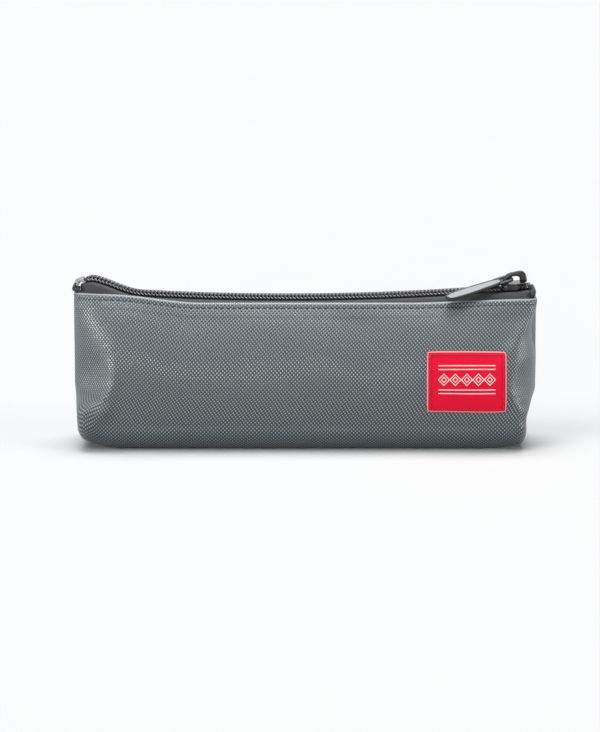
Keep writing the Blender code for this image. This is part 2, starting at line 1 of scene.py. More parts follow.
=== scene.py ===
# %% [markdown]
# # A pen case of coated cloth
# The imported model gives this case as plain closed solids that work: two cloth panels, a zip with
# its slider and puller, a woven patch and the bound seams inside. This script keeps their sizes
# and places and makes what the eye expects: the folds of the cloth and its weave, thread, the wound
# coils of the zip, and enamel and metal. Each surface is worked out with numpy as a grid of points.
# All lengths are in metres: +X is to the right, -Y is the front and +Z is up.

# %% The frame
import math

import bpy
import numpy as np
from mathutils import Matrix, Vector


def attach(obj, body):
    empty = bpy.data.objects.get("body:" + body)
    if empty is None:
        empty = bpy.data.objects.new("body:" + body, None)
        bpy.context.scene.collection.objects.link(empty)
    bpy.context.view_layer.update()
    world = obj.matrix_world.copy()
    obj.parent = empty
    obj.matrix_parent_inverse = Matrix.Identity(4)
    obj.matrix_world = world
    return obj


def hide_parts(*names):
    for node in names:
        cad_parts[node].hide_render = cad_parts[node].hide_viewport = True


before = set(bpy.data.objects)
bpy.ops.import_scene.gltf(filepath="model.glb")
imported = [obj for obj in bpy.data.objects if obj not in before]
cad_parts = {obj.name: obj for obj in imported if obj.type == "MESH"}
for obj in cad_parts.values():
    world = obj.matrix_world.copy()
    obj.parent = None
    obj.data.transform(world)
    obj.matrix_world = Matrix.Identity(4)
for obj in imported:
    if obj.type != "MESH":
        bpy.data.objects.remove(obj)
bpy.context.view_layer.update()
mm = 0.001

# %% [markdown]
# ## Meshes from arrays
# A surface here is a grid: rows of points that follow one another. The quads between them are only
# index arithmetic, so whole arrays make them with no loop. A closed piece is turned outwards by the
# sign of its volume, which is the sum of the volumes from the origin to each of its faces.

# %% Quads between the points of a grid
def grid_quads(rows, columns, around=False):
    """Index quads of a grid; around joins the last column to the first."""
    row, column = np.meshgrid(np.arange(rows - 1), np.arange(columns if around else columns - 1),
                              indexing="ij")
    right = (column + 1) % columns
    corners = [row * columns + column, row * columns + right,
               (row + 1) * columns + right, (row + 1) * columns + column]
    return np.stack(corners, axis=-1).reshape(-1, 4)


def tube_quads(rings, sides):
    """Quads of a tube of rings and of its two end caps; the number of sides is even."""
    k = np.arange((sides - 2) // 2)
    cap = np.stack([k, k + 1, sides - 2 - k, sides - 1 - k], axis=-1)
    return np.concatenate([grid_quads(rings, sides, around=True), cap[:, ::-1],
                           cap + (rings - 1) * sides])


def sheet_quads(rows, columns):
    """Quads of a closed sheet: an outer grid, an inner grid after it, and the four borders."""
    outer = grid_quads(rows, columns)
    inner = outer[:, ::-1] + rows * columns
    index = np.arange(rows * columns).reshape(rows, columns)
    rim = np.concatenate([index[0, :], index[1:, -1], index[-1, -2::-1], index[-2:0:-1, 0]])
    next_rim = np.roll(rim, -1)
    border = np.stack([rim, rim + rows * columns, next_rim + rows * columns, next_rim], axis=-1)
    return np.concatenate([outer, inner, border])


print("a 3 by 4 grid has", len(grid_quads(3, 4)), "quads")

# %% Pieces from points and quads
def turned_out(points, quads):
    """The quads of a closed shell, turned round where the volume inside them is negative."""
    a, b, c, d = (points[quads[:, i]] for i in range(4))
    volume = (a * np.cross(b, c)).sum() + (a * np.cross(c, d)).sum()
    return quads[:, ::-1] if volume < 0.0 else quads


def join(shells):
    """Tubes of rings as one list of points and one of quads, each tube turned outwards."""
    points = [shell.reshape(-1, 3) for shell in shells]
    starts = np.cumsum([0] + [len(p) for p in points[:-1]])
    quads = [turned_out(p, tube_quads(*shell.shape[:2])) + start
             for p, shell, start in zip(points, shells, starts)]
    return np.concatenate(points), np.concatenate(quads)


def placed(name, data):
    """A new object in the scene, at the origin."""
    made = bpy.data.objects.new(name, data)
    bpy.context.scene.collection.objects.link(made)
    return made


def new_mesh(name, points, quads, finish):
    """A mesh object with one finish."""
    mesh = bpy.data.meshes.new(name)
    mesh.from_pydata(points, [], quads)
    mesh.materials.append(finish)
    return placed(name, mesh)


def add_piece(name, points, quads, finish, body, slot, uv=None, replaces=()):
    """A smooth mesh that rides on a body; uv gives each point its place on the flat material."""
    points = np.asarray(points, float).reshape(-1, 3)
    quads = turned_out(points, quads)
    piece = new_mesh(name, points, quads, finish)
    if uv is not None:
        layer = piece.data.uv_layers.new(name="cloth")
        layer.data.foreach_set("uv", np.asarray(uv, float).reshape(-1, 2)[quads.ravel()].ravel())
    piece.data.shade_smooth()
    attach(piece, body)
    if replaces:
        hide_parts(*replaces)
    print(f"{name}: {len(points)} points, {len(quads)} quads")
    return piece


def sheet_piece(name, outer, inner, u, v, finish, slot, node):
    """A closed sheet between two grids; its two faces have the same lengths u and v."""
    flat = np.stack([u, v], axis=-1).reshape(-1, 2)
    return add_piece(name, np.concatenate([outer.reshape(-1, 3), inner.reshape(-1, 3)]),
                     sheet_quads(*outer.shape[:2]), finish, "case", slot,
                     np.concatenate([flat, flat]), [node])


# %% [markdown]
# ## Sections along a path
# Thread, filament, rims and arches are all one thing: a section carried along a path. At each point
# the path's direction and a chosen direction across it give two axes, and the section is drawn on
# them. The section is a superellipse, which goes from a circle to a rounded box by one number.

# %% Carry a section along a path
along_x = np.array([1.0, 0.0, 0.0])
upwards = np.array([0.0, 0.0, 1.0])


def signed_power(value, power):
    """The power of a value's size, with the value's own sign."""
    return np.sign(value) * np.abs(value) ** power


def section(half_out, half_side, squareness=2.0, sides=8):
    """A superellipse: |x / a|^n + |y / b|^n = 1, as points of equal turn."""
    turn = (np.arange(sides) + 0.5) * 2.0 * math.pi / sides
    round_box = signed_power(np.stack([np.cos(turn), np.sin(turn)], axis=-1), 2.0 / squareness)
    return round_box * (half_out, half_side)


def unit(vectors):
    """Vectors of length one, the same way."""
    return vectors / np.linalg.norm(vectors, axis=-1, keepdims=True)


def carry(path, across, shape):
    """Section points at each path point: path + x * out + y * (direction cross out)."""
    direction = unit(np.gradient(path, axis=-2))
    out = unit(across - (across * direction).sum(axis=-1, keepdims=True) * direction)
    side = np.cross(direction, out)
    return (path[..., None, :] + shape[..., 0:1] * out[..., None, :]
            + shape[..., 1:2] * side[..., None, :])


print("a round section's first point:", section(1.0, 1.0)[0].round(3))

# %% [markdown]
# ## The shape of the pouch
# A boxed pouch is a rectangle where it stands and nearly a line where it closes. At each level it
# is two straight walls whose ends run together in a curve, and that curve goes from square at the
# bottom, through a straight fold at the belly, to round at the mouth. The lengths are the model's
# own, so the fine cloth lies where the plain solids are. Only the lower corners lift more.

# %% Lengths of the pouch, at its left and right end where there are two
end_reach = 102.5 * mm
base_inset = (1.6 * mm, 4.0 * mm)
base_half_depth = 21.0 * mm
mouth_half_depth = 10.0 * mm
wall_bulge = 3.2 * mm
mouth_height = 65.0 * mm
mouth_rise = (3.7 * mm, 1.6 * mm)
mouth_rise_inset = 57.5 * mm
mouth_rise_run = (43.0 * mm, 55.0 * mm)
bottom_edge_radius = 11.5 * mm
bottom_end_radius = 2.8 * mm
corner_lift_most = (3.7 * mm, 1.9 * mm)
corner_lift_inset = 18.5 * mm
cloth_thickness = 1.1 * mm
hem_thickness = 2.2 * mm
hem_width = 8.0 * mm
seam_gap = 0.3 * mm
bottom_corner_run = 8.0 * mm
belly_corner_run = (19.0 * mm, 13.5 * mm)
mouth_corner_run = (18.0 * mm, 5.5 * mm)
bottom_squareness = 5.0
belly_squareness = (1.2, 1.5)
mouth_squareness = (1.8, 3.2)
belly_share = 0.38
fold_share = 0.21
spread_share = 0.25
belly_power = 2.2
base_reach = (end_reach - base_inset[0], end_reach - base_inset[1])
corner_turns = 24
straight_steps = 150
print("base from", round(-base_reach[0] / mm, 1), "to", round(base_reach[1] / mm, 1), "mm")

# %% Heights along the pouch
def ease(value):
    """The smooth step 3 t^2 - 2 t^3, held to 0 before and 1 after."""
    t = np.clip(value, 0.0, 1.0)
    return t * t * (3.0 - 2.0 * t)


def both_ends(x, most, inset, runs):
    """A rise that eases in towards each end: its height at the left end and at the right one."""
    start = end_reach - inset
    return most[0] * ease((-x - start) / runs[0]) + most[1] * ease((x - start) / runs[1])


def mouth_z(x):
    """Height of the folded hem."""
    return mouth_height + both_ends(x, mouth_rise, mouth_rise_inset, mouth_rise_run)


def corner_lift(x):
    """How far the base is off the table near its ends."""
    start = end_reach - corner_lift_inset
    return both_ends(x, corner_lift_most, corner_lift_inset, [r - start for r in base_reach])


def wall_z(x, share):
    """Height of the wall at a share of the way from its bottom edge to the hem."""
    foot = bottom_edge_radius + corner_lift(x)
    return foot + share * (mouth_z(x) - foot)


print("hem at the left, middle and right:", np.round(mouth_z(np.array([-0.1, 0, 0.1])) / mm, 1))

# %% One level of the pouch, and all of them
def between(share, bottom, belly, mouth, turn):
    """Eases from the bottom's value to the belly's at the turn, and on to the mouth's."""
    low = ease(share / turn)
    high = ease((share - turn) / (1.0 - turn))
    return bottom + (belly - bottom) * low + (mouth - belly) * high


def level_shape(share):
    """Reaches, half depth, corner runs and squareness of the wall at each share of its height."""
    spread = ease(share / spread_share)
    reach = [base + (end_reach - base) * spread for base in base_reach]
    lean = share ** belly_power
    depth = base_half_depth * (1.0 - lean) + mouth_half_depth * lean
    depth = depth + wall_bulge * 4.0 * share * (1.0 - share)
    run = [between(share, bottom_corner_run, belly_corner_run[i], mouth_corner_run[i], belly_share)
           for i in (0, 1)]
    square = [between(share, bottom_squareness, belly_squareness[i], mouth_squareness[i],
                      fold_share) for i in (0, 1)]
    return reach, depth, run, square


def outline(reach, depth, run, square, turns=corner_turns, straights=straight_steps):
    """Each level's line: |(x - c) / run|^n + |y / depth|^n = 1 at its ends, straight between."""
    turn = np.linspace(0.0, math.pi / 2, turns + 1)[None, :]
    ends = []
    for i in (0, 1):
        power = 2.0 / square[i]
        ends.append((reach[i] - run[i] + run[i] * np.sin(turn) ** power,
                     depth * np.cos(turn) ** power))
    t = np.linspace(0.0, 1.0, straights + 1)[None, 1:-1]
    straight = (run[0] - reach[0]) * (1.0 - t) + (reach[1] - run[1]) * t
    x = np.concatenate([-ends[0][0][:, ::-1], straight, ends[1][0]], axis=1)
    y = np.concatenate([ends[0][1][:, ::-1], depth * np.ones_like(t), ends[1][1]], axis=1)
    return x, y


print("half depth up the wall in mm:",
      np.round(level_shape(np.linspace(0.0, 1.0, 5))[1] / mm, 1))

# %% [markdown]
# ## One cloth panel as a grid
# A panel runs from the seam under the base, out over the floor, round the bottom edge and up the
# wall, and its hem rolls over at the top. Each of these is a block of rows, so the panel is one
# grid and the weave can follow it from end to end. The inner face is the same grid with an inset.

# %% The panel's rows
base_rows = 12
edge_rows = 12
wall_rows = 60
hem_rows = 26
roll_rows = 9
roll_radius = hem_thickness / 2
fine_share = 1.0 - 11.0 * mm / mouth_height
top_share = 1.0 - roll_radius / mouth_height
hem_start = 1.0 - 1.1 * hem_width / mouth_height
hem_steepness = 60
wall_shares = np.concatenate([np.linspace(0.0, fine_share, wall_rows, endpoint=False),
                              np.linspace(fine_share, top_share, hem_rows)])


def column(values):
    """Values as one per row of a grid."""
    return np.asarray(values, float)[:, None]


def inset_line(share, hold, **steps):
    """A level's line, drawn in by a length, and by up to 1.4 times that at its slanted ends."""
    reach, depth, run, square = level_shape(share)
    slant = between(share, 1.0, 1.4, 1.0, fold_share)
    return outline([r - hold * slant for r in reach], depth - hold, run, square, **steps)


def panel_grid(inset, hem_inset, side):
    """Base: depth grows from the seam. Edge and roll: a quarter circle each. Wall: by share."""
    seam = seam_gap / 2
    flat_depth = base_half_depth - bottom_edge_radius
    corners = ([bottom_corner_run] * 2, [bottom_squareness] * 2)
    share = column(np.linspace(0.0, 1.0, base_rows, endpoint=False))
    drawn = bottom_end_radius + bottom_corner_run * (1.0 - share)
    x, y = outline([r - drawn for r in base_reach], seam + (flat_depth - seam) * share, *corners)
    blocks = [(x, y, inset + corner_lift(x))]
    turn = column(np.linspace(0.0, math.pi / 2, edge_rows, endpoint=False))
    out = (bottom_end_radius - inset) * np.sin(turn) - bottom_end_radius
    x, y = outline([r + out for r in base_reach],
                   flat_depth + (bottom_edge_radius - inset) * np.sin(turn), *corners)
    z = bottom_edge_radius - (bottom_edge_radius - inset) * np.cos(turn) + corner_lift(x)
    blocks.append((x, y, z))
    share = column(wall_shares)
    hold = inset + (hem_inset - inset) * ease((share - hem_start) * hem_steepness)
    x, y = inset_line(share, hold)
    blocks.append((x, y, wall_z(x, share)))
    roll = column(np.linspace(0.0, math.pi / 2, roll_rows + 1)[1:] * 0.96)
    share = top_share + (1.0 - top_share) * np.sin(roll)
    hold = roll_radius * (1.0 - np.cos(roll) if hem_inset == 0.0 else 1.0 + np.cos(roll))
    reach, depth, run, square = level_shape(share)
    x, y = outline([r - hold for r in reach], depth - hold, run, square)
    blocks.append((x, y, wall_z(x, share)))
    x, y, z = (np.concatenate(parts) for parts in zip(*blocks))
    return np.stack([x, side * np.maximum(y, seam), z], axis=-1)


front_grid = panel_grid(0.0, 0.0, -1)
print("front panel:", front_grid.shape[:2], "rows and columns")

# %% [markdown]
# ## Lengths along the cloth
# Cloth hardly stretches, so a point on a panel is best named by two lengths: how far it is along
# its row from the middle, and how far down from the hem. These are sums of the steps between grid
# points. They place the weave, the thread and the creases, and they give the panel's flat size.

# %% Measure along the grid
def lengths(points, axis=0):
    """Length along one axis of a grid: the sum of the steps between its points."""
    step = np.linalg.norm(np.diff(points, axis=axis), axis=-1)
    return np.concatenate([np.zeros_like(step.take([0], axis)), np.cumsum(step, axis)], axis)


def along_rows(grid):
    """Length along each row, from the middle column."""
    length = lengths(grid, 1)
    return length - length[:, grid.shape[1] // 2][:, None]


def down_columns(grid):
    """Length down each column, from the hem."""
    length = lengths(grid)
    return length[-1] - length


def grid_normals(grid, side):
    """Directions out of the cloth: the cross product of its two slopes."""
    normal = np.cross(np.gradient(grid, axis=1), np.gradient(grid, axis=0))
    size = np.linalg.norm(normal, axis=-1, keepdims=True)
    return -side * normal / np.maximum(size, 1e-15)


print("flat panel in mm:", round(np.ptp(along_rows(front_grid)[-1]) / mm), "by",
      round(down_columns(front_grid)[0].max() / mm))

# %% [markdown]
# ## Materials from nodes
# Each finish is one principled shader. What comes out of a node is wrapped so that it can be added
# and multiplied like a number, and a weave is then written as the sum that it is. Every pattern
# reads either the piece's own map, in metres along cloth or thread, or its object coordinates,
# which are the same metres in the room.

# %% Node values that work like numbers
def put(socket, value):
    """Sets a socket, or links it when the value comes out of a node."""
    if isinstance(value, Value):
        value.tree.links.new(value.socket, socket)
    else:
        socket.default_value = value


def math_node(operation):
    """A method that makes one math node of this operation."""
    return lambda self, *others: self.calc(operation, *others)


class Value:
    """What comes out of a node; each sum or comparison with it makes a math node."""

    __add__ = math_node("ADD")
    __sub__ = math_node("SUBTRACT")
    __mul__ = math_node("MULTIPLY")
    __pow__ = math_node("POWER")
    __lt__ = math_node("LESS_THAN")
    __gt__ = math_node("GREATER_THAN")
    __abs__ = math_node("ABSOLUTE")
    least = math_node("MINIMUM")
    most = math_node("MAXIMUM")
    there_and_back = math_node("PINGPONG")

    def __init__(self, tree, socket):
        self.tree = tree
        self.socket = socket

    def calc(self, operation, *others):
        """A math node on this value and the others."""
        made = self.tree.nodes.new("ShaderNodeMath")
        made.operation = operation
        for socket, value in zip(made.inputs, (self, *others)):
            put(socket, value)
        return Value(self.tree, made.outputs[0])

    def held(self, low=0.0, high=1.0):
        """This value, kept between two limits."""
        return self.most(low).least(high)

    def wave(self, length):
        """A sine that repeats after a length."""
        return (self * (2.0 * math.pi / length)).calc("SINE")


# %% Helpers for finishes
def new_finish(name, colour, roughness, metallic=0.0, specular=0.5):
    """A material and the sockets of its principled shader."""
    finish = bpy.data.materials.new(name)
    finish.use_nodes = True
    finish.diffuse_color = (*colour, 1.0)
    inputs = finish.node_tree.nodes["Principled BSDF"].inputs
    put(inputs["Base Color"], (*colour, 1.0))
    put(inputs["Roughness"], roughness)
    put(inputs["Metallic"], metallic)
    put(inputs["Specular IOR Level"], specular)
    return finish, inputs


def blend(share, low, high):
    """Mixes two colours, each a colour or a value, by a share."""
    made = share.tree.nodes.new("ShaderNodeMix")
    made.data_type = "RGBA"
    put(made.inputs["Factor"], share)
    for key, value in (("A", low), ("B", high)):
        socket = [s for s in made.inputs if s.name == key and s.type == "RGBA"][0]
        put(socket, value if isinstance(value, Value) else (*value, 1.0))
    return Value(share.tree, [s for s in made.outputs if s.type == "RGBA"][0])


def noise(place, size, detail=2.0):
    """Smooth noise whose lumps are about one size across."""
    made = place.tree.nodes.new("ShaderNodeTexNoise")
    put(made.inputs["Scale"], 1.0 / size)
    put(made.inputs["Detail"], detail)
    put(made.inputs["Vector"], place)
    return Value(place.tree, made.outputs["Fac"])


def bump(inputs, height, depth):
    """Bends the shader's normal by a height from 0 to 1 that stands for a depth in metres."""
    made = height.tree.nodes.new("ShaderNodeBump")
    put(made.inputs["Strength"], 1.0)
    put(made.inputs["Distance"], depth)
    put(made.inputs["Height"], height)
    put(inputs["Normal"], Value(height.tree, made.outputs["Normal"]))


def parts_of(place):
    """The three parts of a place."""
    made = place.tree.nodes.new("ShaderNodeSeparateXYZ")
    put(made.inputs[0], place)
    return [Value(place.tree, part) for part in made.outputs]


def cloth_place(finish):
    """The place on the piece's own map, and its two lengths along the cloth."""
    made = finish.node_tree.nodes.new("ShaderNodeUVMap")
    made.uv_map = "cloth"
    place = Value(finish.node_tree, made.outputs[0])
    return place, *parts_of(place)[:2]


def room_place(finish):
    """Object coordinates, which are metres in the room."""
    tree = finish.node_tree
    return Value(tree, tree.nodes.new("ShaderNodeTexCoord").outputs["Object"])


# %% [markdown]
# ## The weave
# In plain weave each yarn goes over one and under one. Two sine waves, one across the upright yarns
# and one across the level ones, give the rounded back of every yarn, and the sign of their product
# says which of the two is on top at each crossing. The cloth is coarse, 0.8 to 0.9 mm a yarn, and
# it is coated, so the backs of the yarns shine a little. Shade is painted into its colour: near
# black in the holes between the yarns, darker where the level yarns are on top.

# %% A plain weave
def weave(u, v, across, down):
    """max(|su|^.7 (1 + w) / 2, |sv|^.7 (1 - w) / 2) with w = 2 su sv, held to -1 and 1."""
    su = u.wave(2.0 * across)
    sv = v.wave(2.0 * down)
    over = (su * sv * 2.0).held(-1.0, 1.0)
    warp = abs(su) ** 0.7 * (over * 0.5 + 0.5)
    weft = abs(sv) ** 0.7 * (over * -0.5 + 0.5)
    return warp.most(weft), over


cloth_yarn = (0.82 * mm, 0.93 * mm)
cloth_dark = (0.003, 0.005, 0.006)
cloth_light = (0.221, 0.281, 0.312)
# Painted highlight along the fold of the hem: its colour, how far down the cloth it lies and how
# wide it is.
cloth_fold_highlight = (0.60, 0.66, 0.70)
fold_highlight_down = 1.3 * mm
fold_highlight_reach = 0.5 * mm


def cloth_finish():
    """Painted shade: near black in its holes, darker where the level yarns are on top and light on
    the backs of the yarns; in lumps of 2.5 mm a little lighter and darker; and a painted highlight,
    pale along the fold of the hem, where the fold catches the light."""
    middle = [(a + b) / 2 for a, b in zip(cloth_dark, cloth_light)]
    finish, inputs = new_finish("case cloth", middle, 0.27, specular=0.7)
    place, u, v = cloth_place(finish)
    height, over = weave(u, v, *cloth_yarn)
    uneven = (noise(place, 2.5 * mm, 3.0) - 0.5) * 0.25 + 1.0
    # Painted shade: the colour goes from near black in the holes and on the lower crossings to
    # light on the yarns' backs.
    lit = ((height * 0.75 + (over * 0.6 - 0.35)) * uneven).held()
    # Painted highlight: the colour goes halfway to pale along a line 1.3 mm down from the hem's
    # edge, where its fold catches the light.
    wear_and_fold_highlight = (abs(v - fold_highlight_down) * (1.0 / fold_highlight_reach)).least(1.0) * -0.5 + 0.5
    put(inputs["Base Color"], blend(wear_and_fold_highlight, blend(lit, cloth_dark, cloth_light), cloth_fold_highlight))
    put(inputs["Roughness"], lit * -0.18 + 0.39)
    put(inputs["Sheen Weight"], 0.03)
    put(inputs["Sheen Roughness"], 0.4)
    bump(inputs, height, 0.09 * mm)
    return finish


cloth = cloth_finish()
print("finish:", cloth.name)

# %% [markdown]
# ## The relief of the cloth
# A sewn pouch isn't smooth. The stitch row pulls a valley into the hem, the double layer above it
# stands a little proud, and the cloth ends in soft folds where the boxed bottom turns into the flat
# top. The relief is a sum of such terms, each a height along the cloth's own outward direction, so
# the inner face takes the same relief and the cloth keeps its thickness.

# %% Terms of the relief
stitch_down = 3.6 * mm
hem_stitch = 2.7 * mm
rng = np.random.default_rng(7)
wave_count = 9
wave_size = rng.uniform(28.0, 85.0, (wave_count, 2)) * mm
wave_turn = rng.uniform(0.0, 2.0 * math.pi, wave_count)
wave_height = rng.uniform(0.06, 0.16, wave_count) * mm
# Each fold: x and z of its two ends, its width and its height, in mm; below nought it is a hollow.
fold_lines = (
    ((-98.0, 8.0), (-88.0, 19.0), 2.8, 0.8),
    ((-88.0, 19.0), (-83.8, 36.0), 4.0, 0.7),
    ((-97.5, 24.0), (-94.0, 38.0), 5.0, -0.9),
    ((100.5, 61.0), (90.5, 46.0), 2.8, 0.55),
    ((99.0, 51.0), (97.5, 36.0), 4.0, -0.5),
    ((91.0, 15.0), (95.0, 9.5), 2.6, 0.55),
    ((96.5, 14.0), (99.0, 9.0), 2.2, -0.5),
)


def ridge(x, z, start, end, width, height):
    """height * exp(-(d / width)^2), where d is the distance from the line between two places."""
    start = np.array(start) * mm
    line = np.array(end) * mm - start
    share = ((x - start[0]) * line[0] + (z - start[1]) * line[1]) / (line @ line)
    share = np.clip(share, 0.0, 1.0)
    distance = np.hypot(x - start[0] - share * line[0], z - start[1] - share * line[1])
    return height * mm * np.exp(-(distance / (width * mm)) ** 2)


def relief(x, y, z, u, v):
    """Sum of: stitch valley, proud hem, soft waves, folds at both ends, a hollow high at the right
    and a groove along the end seams."""
    pull = 0.8 + 0.2 * np.cos(2.0 * math.pi * u / hem_stitch)
    valley = -0.16 * mm * pull * np.exp(-((v - stitch_down) / (0.55 * mm)) ** 2)
    proud = 0.07 * mm * np.sin(math.pi * np.clip(v / stitch_down, 0.0, 1.0))
    proud = proud + 0.12 * mm * (1.0 - ease((v - 7.4 * mm) / (1.2 * mm)))
    waves = sum(h * np.sin(2.0 * math.pi * (x / sx + z / sz) + turn)
                for h, (sx, sz), turn in zip(wave_height, wave_size, wave_turn))
    calm = ease((z - 3.0 * mm) / (9.0 * mm)) * ease((v - 2.0 * mm) / (10.0 * mm))
    folds = sum(ridge(x, z, *line) for line in fold_lines)
    hollow = 2.2 * mm * ease((x - 74.0 * mm) / (26.0 * mm)) * ease((z - 38.0 * mm) / (13.0 * mm))
    away = ease((np.abs(y) - 0.4 * mm) / (5.0 * mm))
    seam = -0.15 * mm * np.exp(-(y / (1.0 * mm)) ** 2) * ease((z - 2.0 * mm) / (6.0 * mm))
    return valley + proud * away + (waves + folds - hollow) * calm * away + seam


print("waves across the cloth:", wave_count, "folds:", len(fold_lines))

# %% Build both panels
def panel_piece(name, side, node):
    """Outer and inner grid, both moved by the same relief along the outer grid's normals."""
    outer = panel_grid(0.0, 0.0, side)
    inner = panel_grid(cloth_thickness, hem_thickness, side)
    u = along_rows(outer)
    v = down_columns(outer)
    lift = relief(*np.moveaxis(outer, -1, 0), u, v)[..., None] * grid_normals(outer, side)
    lift[-roll_rows:] *= (1.0 - np.linspace(0.0, 1.0, roll_rows))[:, None, None]
    lift[..., 2] -= np.minimum(outer[..., 2] + lift[..., 2], 0.0)
    outer = outer + lift
    piece = sheet_piece(name, outer, inner + lift, u, v, cloth, "cloth", node)
    return outer, grid_normals(outer, side)


front, front_out = panel_piece("front_cloth", -1, "front_panel")
back, back_out = panel_piece("back_cloth", 1, "back_panel")

# %% [markdown]
# ## Thread
# A sewn row is one thread that dips through the cloth at each needle hole. Its path follows the
# cloth at a height of a rounded arch a stitch long, and goes under the surface between two arches.
# A round section carried along this path shows as single stitches, as the real thing does.

# %% A row of stitches along a path
thread_sides = 6


def stitch_points(path, out, stitch, thread, rings=12, slant=0.0, power=0.5):
    """lift = thread * (1.4 |sin(pi s / stitch)|^power - 0.75) along the outward direction, and
    slant * (part of the stitch - 0.5) to its side."""
    length = lengths(path)
    # The last digit of this sum decides on which side a slanted thread goes down between stitches.
    whole = np.linalg.norm(np.diff(path, axis=0), axis=1).sum()
    stitches = max(int(round(whole / stitch)), 1)
    at = np.linspace(0.0, length[-1], stitches * rings + 1)
    path, out = (np.stack([np.interp(at, length, line[:, i]) for i in range(3)], axis=1)
                 for line in (path, out))
    turn = at / whole * stitches
    arch = np.abs(np.sin(math.pi * turn)) ** power
    across = unit(np.cross(np.gradient(path, axis=0), out))
    lean = slant * (turn % 1.0 - 0.5)
    path = path + (thread * (1.4 * arch - 0.75))[:, None] * out + lean[:, None] * across
    thick = (0.55 + 0.45 * arch)[:, None, None]
    return carry(path, out, section(thread / 2, thread / 2, sides=thread_sides) * thick)


def thread_piece(name, runs, slot, finish):
    """Stitched runs as one piece; its map has the length along the thread and the turn round it."""
    around = np.arange(thread_sides) / thread_sides
    flat = [np.stack(np.meshgrid(lengths(run.mean(axis=1)), around, indexing="ij"),
                     axis=-1).reshape(-1, 2) for run in runs]
    add_piece(name, *join(runs), finish, "case", slot, np.concatenate(flat))


# %% Thread finish and the rows of the hems
def thread_finish(name, dark, light, pitch):
    """Plies wind round the thread: a sine of the length along it plus the turn round it."""
    finish, inputs = new_finish(name, light, 0.55, specular=0.4)
    _, along, around = cloth_place(finish)
    ply = (along * (1.0 / pitch) + around).wave(1.0) * 0.5 + 0.5
    put(inputs["Base Color"], blend(ply, dark, light))
    bump(inputs, ply, 0.05 * mm)
    return finish


grey_thread = thread_finish("grey thread", (0.018, 0.023, 0.026), (0.055, 0.066, 0.074), 0.6 * mm)
hem_thread = 0.40 * mm
hem_thread_sunk = 0.10 * mm


def hem_row(name, grid, out):
    """The stitches along the row of the grid that is stitch_down below the hem."""
    down = down_columns(grid)[:, grid.shape[1] // 2]
    row = int(np.argmin(np.abs(down - stitch_down)))
    off_seams = slice(7, -7)
    path, out = grid[row, off_seams], out[row, off_seams]
    run = stitch_points(path - hem_thread_sunk * out, out, hem_stitch, hem_thread)
    thread_piece(name, [run], "cloth", grey_thread)


hem_row("front_hem_stitches", front, front_out)
hem_row("back_hem_stitches", back, back_out)

# %% [markdown]
# ## The patch
# The patch is a small piece of satin weave with its edges turned under, sewn down all round. It
# lies on the cloth and takes its waves, so it is worked out from the cloth's own grid. Its drawing
# is plain geometry of our own: a row of lozenges between double lines, as on a ribbon.

# %% The front wall as a function of place and height
wall_part = slice(base_rows + edge_rows, base_rows + edge_rows + len(wall_shares))
straight_part = slice(corner_turns, corner_turns + straight_steps + 1)
wall = front[wall_part, straight_part]
wall_out = front_out[wall_part, straight_part]


def on_front(x, z, lift=0.0):
    """Point and outward direction of the front cloth over a place along X at a height: the grid's
    four points round it, mixed by how near they are."""
    x, z = np.broadcast_arrays(np.asarray(x, float), np.asarray(z, float))
    foot = bottom_edge_radius + corner_lift(x)
    i = np.interp((z - foot) / (mouth_z(x) - foot), wall_shares, np.arange(len(wall_shares)))
    low = np.clip(i.astype(int), 0, len(wall_shares) - 2)
    up = (i - low)[..., None]

    def along(values, row):
        start, end = wall[row, 0, 0], wall[row, -1, 0]
        j = np.clip((x - start) / (end - start), 0.0, 1.0) * straight_steps
        left = np.minimum(j.astype(int), straight_steps - 1)
        part = (j - left)[..., None]
        return values[row, left] * (1.0 - part) + values[row, left + 1] * part

    def mix(values):
        return along(values, low) * (1.0 - up) + along(values, low + 1) * up

    out = unit(mix(wall_out))
    return mix(wall) + lift * out, out


label_length = 34.9 * mm
label_height = 26.5 * mm
label_x = 88.3 * mm - label_length / 2
label_z = 18.4 * mm + label_height / 2
point, direction = on_front(label_x, label_z)
print("middle of the patch in mm:", np.round(point / mm, 2), "faces", direction.round(2))

# %% The patch and its stitches
row_up = 1.2 * mm
cell = 5.0 * mm
turned_edge = 0.55 * mm


def patch_finish():
    """Red satin with pale turned edges; a lozenge is where |x| + |y| is one length, a line where
    |y| is one length."""
    finish, inputs = new_finish("patch weave", (0.78, 0.003, 0.028), 0.62, specular=0.12)
    _, u, v = cloth_place(finish)
    slanted = u * (2.0 * math.pi / (1.6 * mm)) + v * (2.0 * math.pi / (0.38 * mm))
    rib = u.wave(0.42 * mm) * slanted.calc("SINE") * 0.5 + 0.5
    row = abs(v - row_up)
    out = u.there_and_back(cell / 2) + row
    lozenges = abs(out - 0.49 * cell).least(abs(out - 0.225 * cell)) < 0.26 * mm
    lines = abs(row - 4.4 * mm).least(abs(row - 6.0 * mm)) < 0.22 * mm
    drawing = (lozenges * (row < 3.0 * mm)).most(lines) * (abs(u) < 12.5 * mm)
    ground = blend(rib, (0.58, 0.001, 0.019), (0.80, 0.003, 0.042))
    pale = blend(rib, (0.66, 0.50, 0.50), (0.86, 0.74, 0.73))
    edge = (abs(u) - (label_length / 2 - turned_edge)).most(
        abs(v) - (label_height / 2 - turned_edge))
    put(inputs["Base Color"], blend((edge > 0.0) * 0.62,
                                    blend(drawing, ground, pale), (0.90, 0.42, 0.46)))
    put(inputs["Sheen Weight"], 0.03)
    bump(inputs, drawing * 0.8 + rib, 0.07 * mm)
    return finish


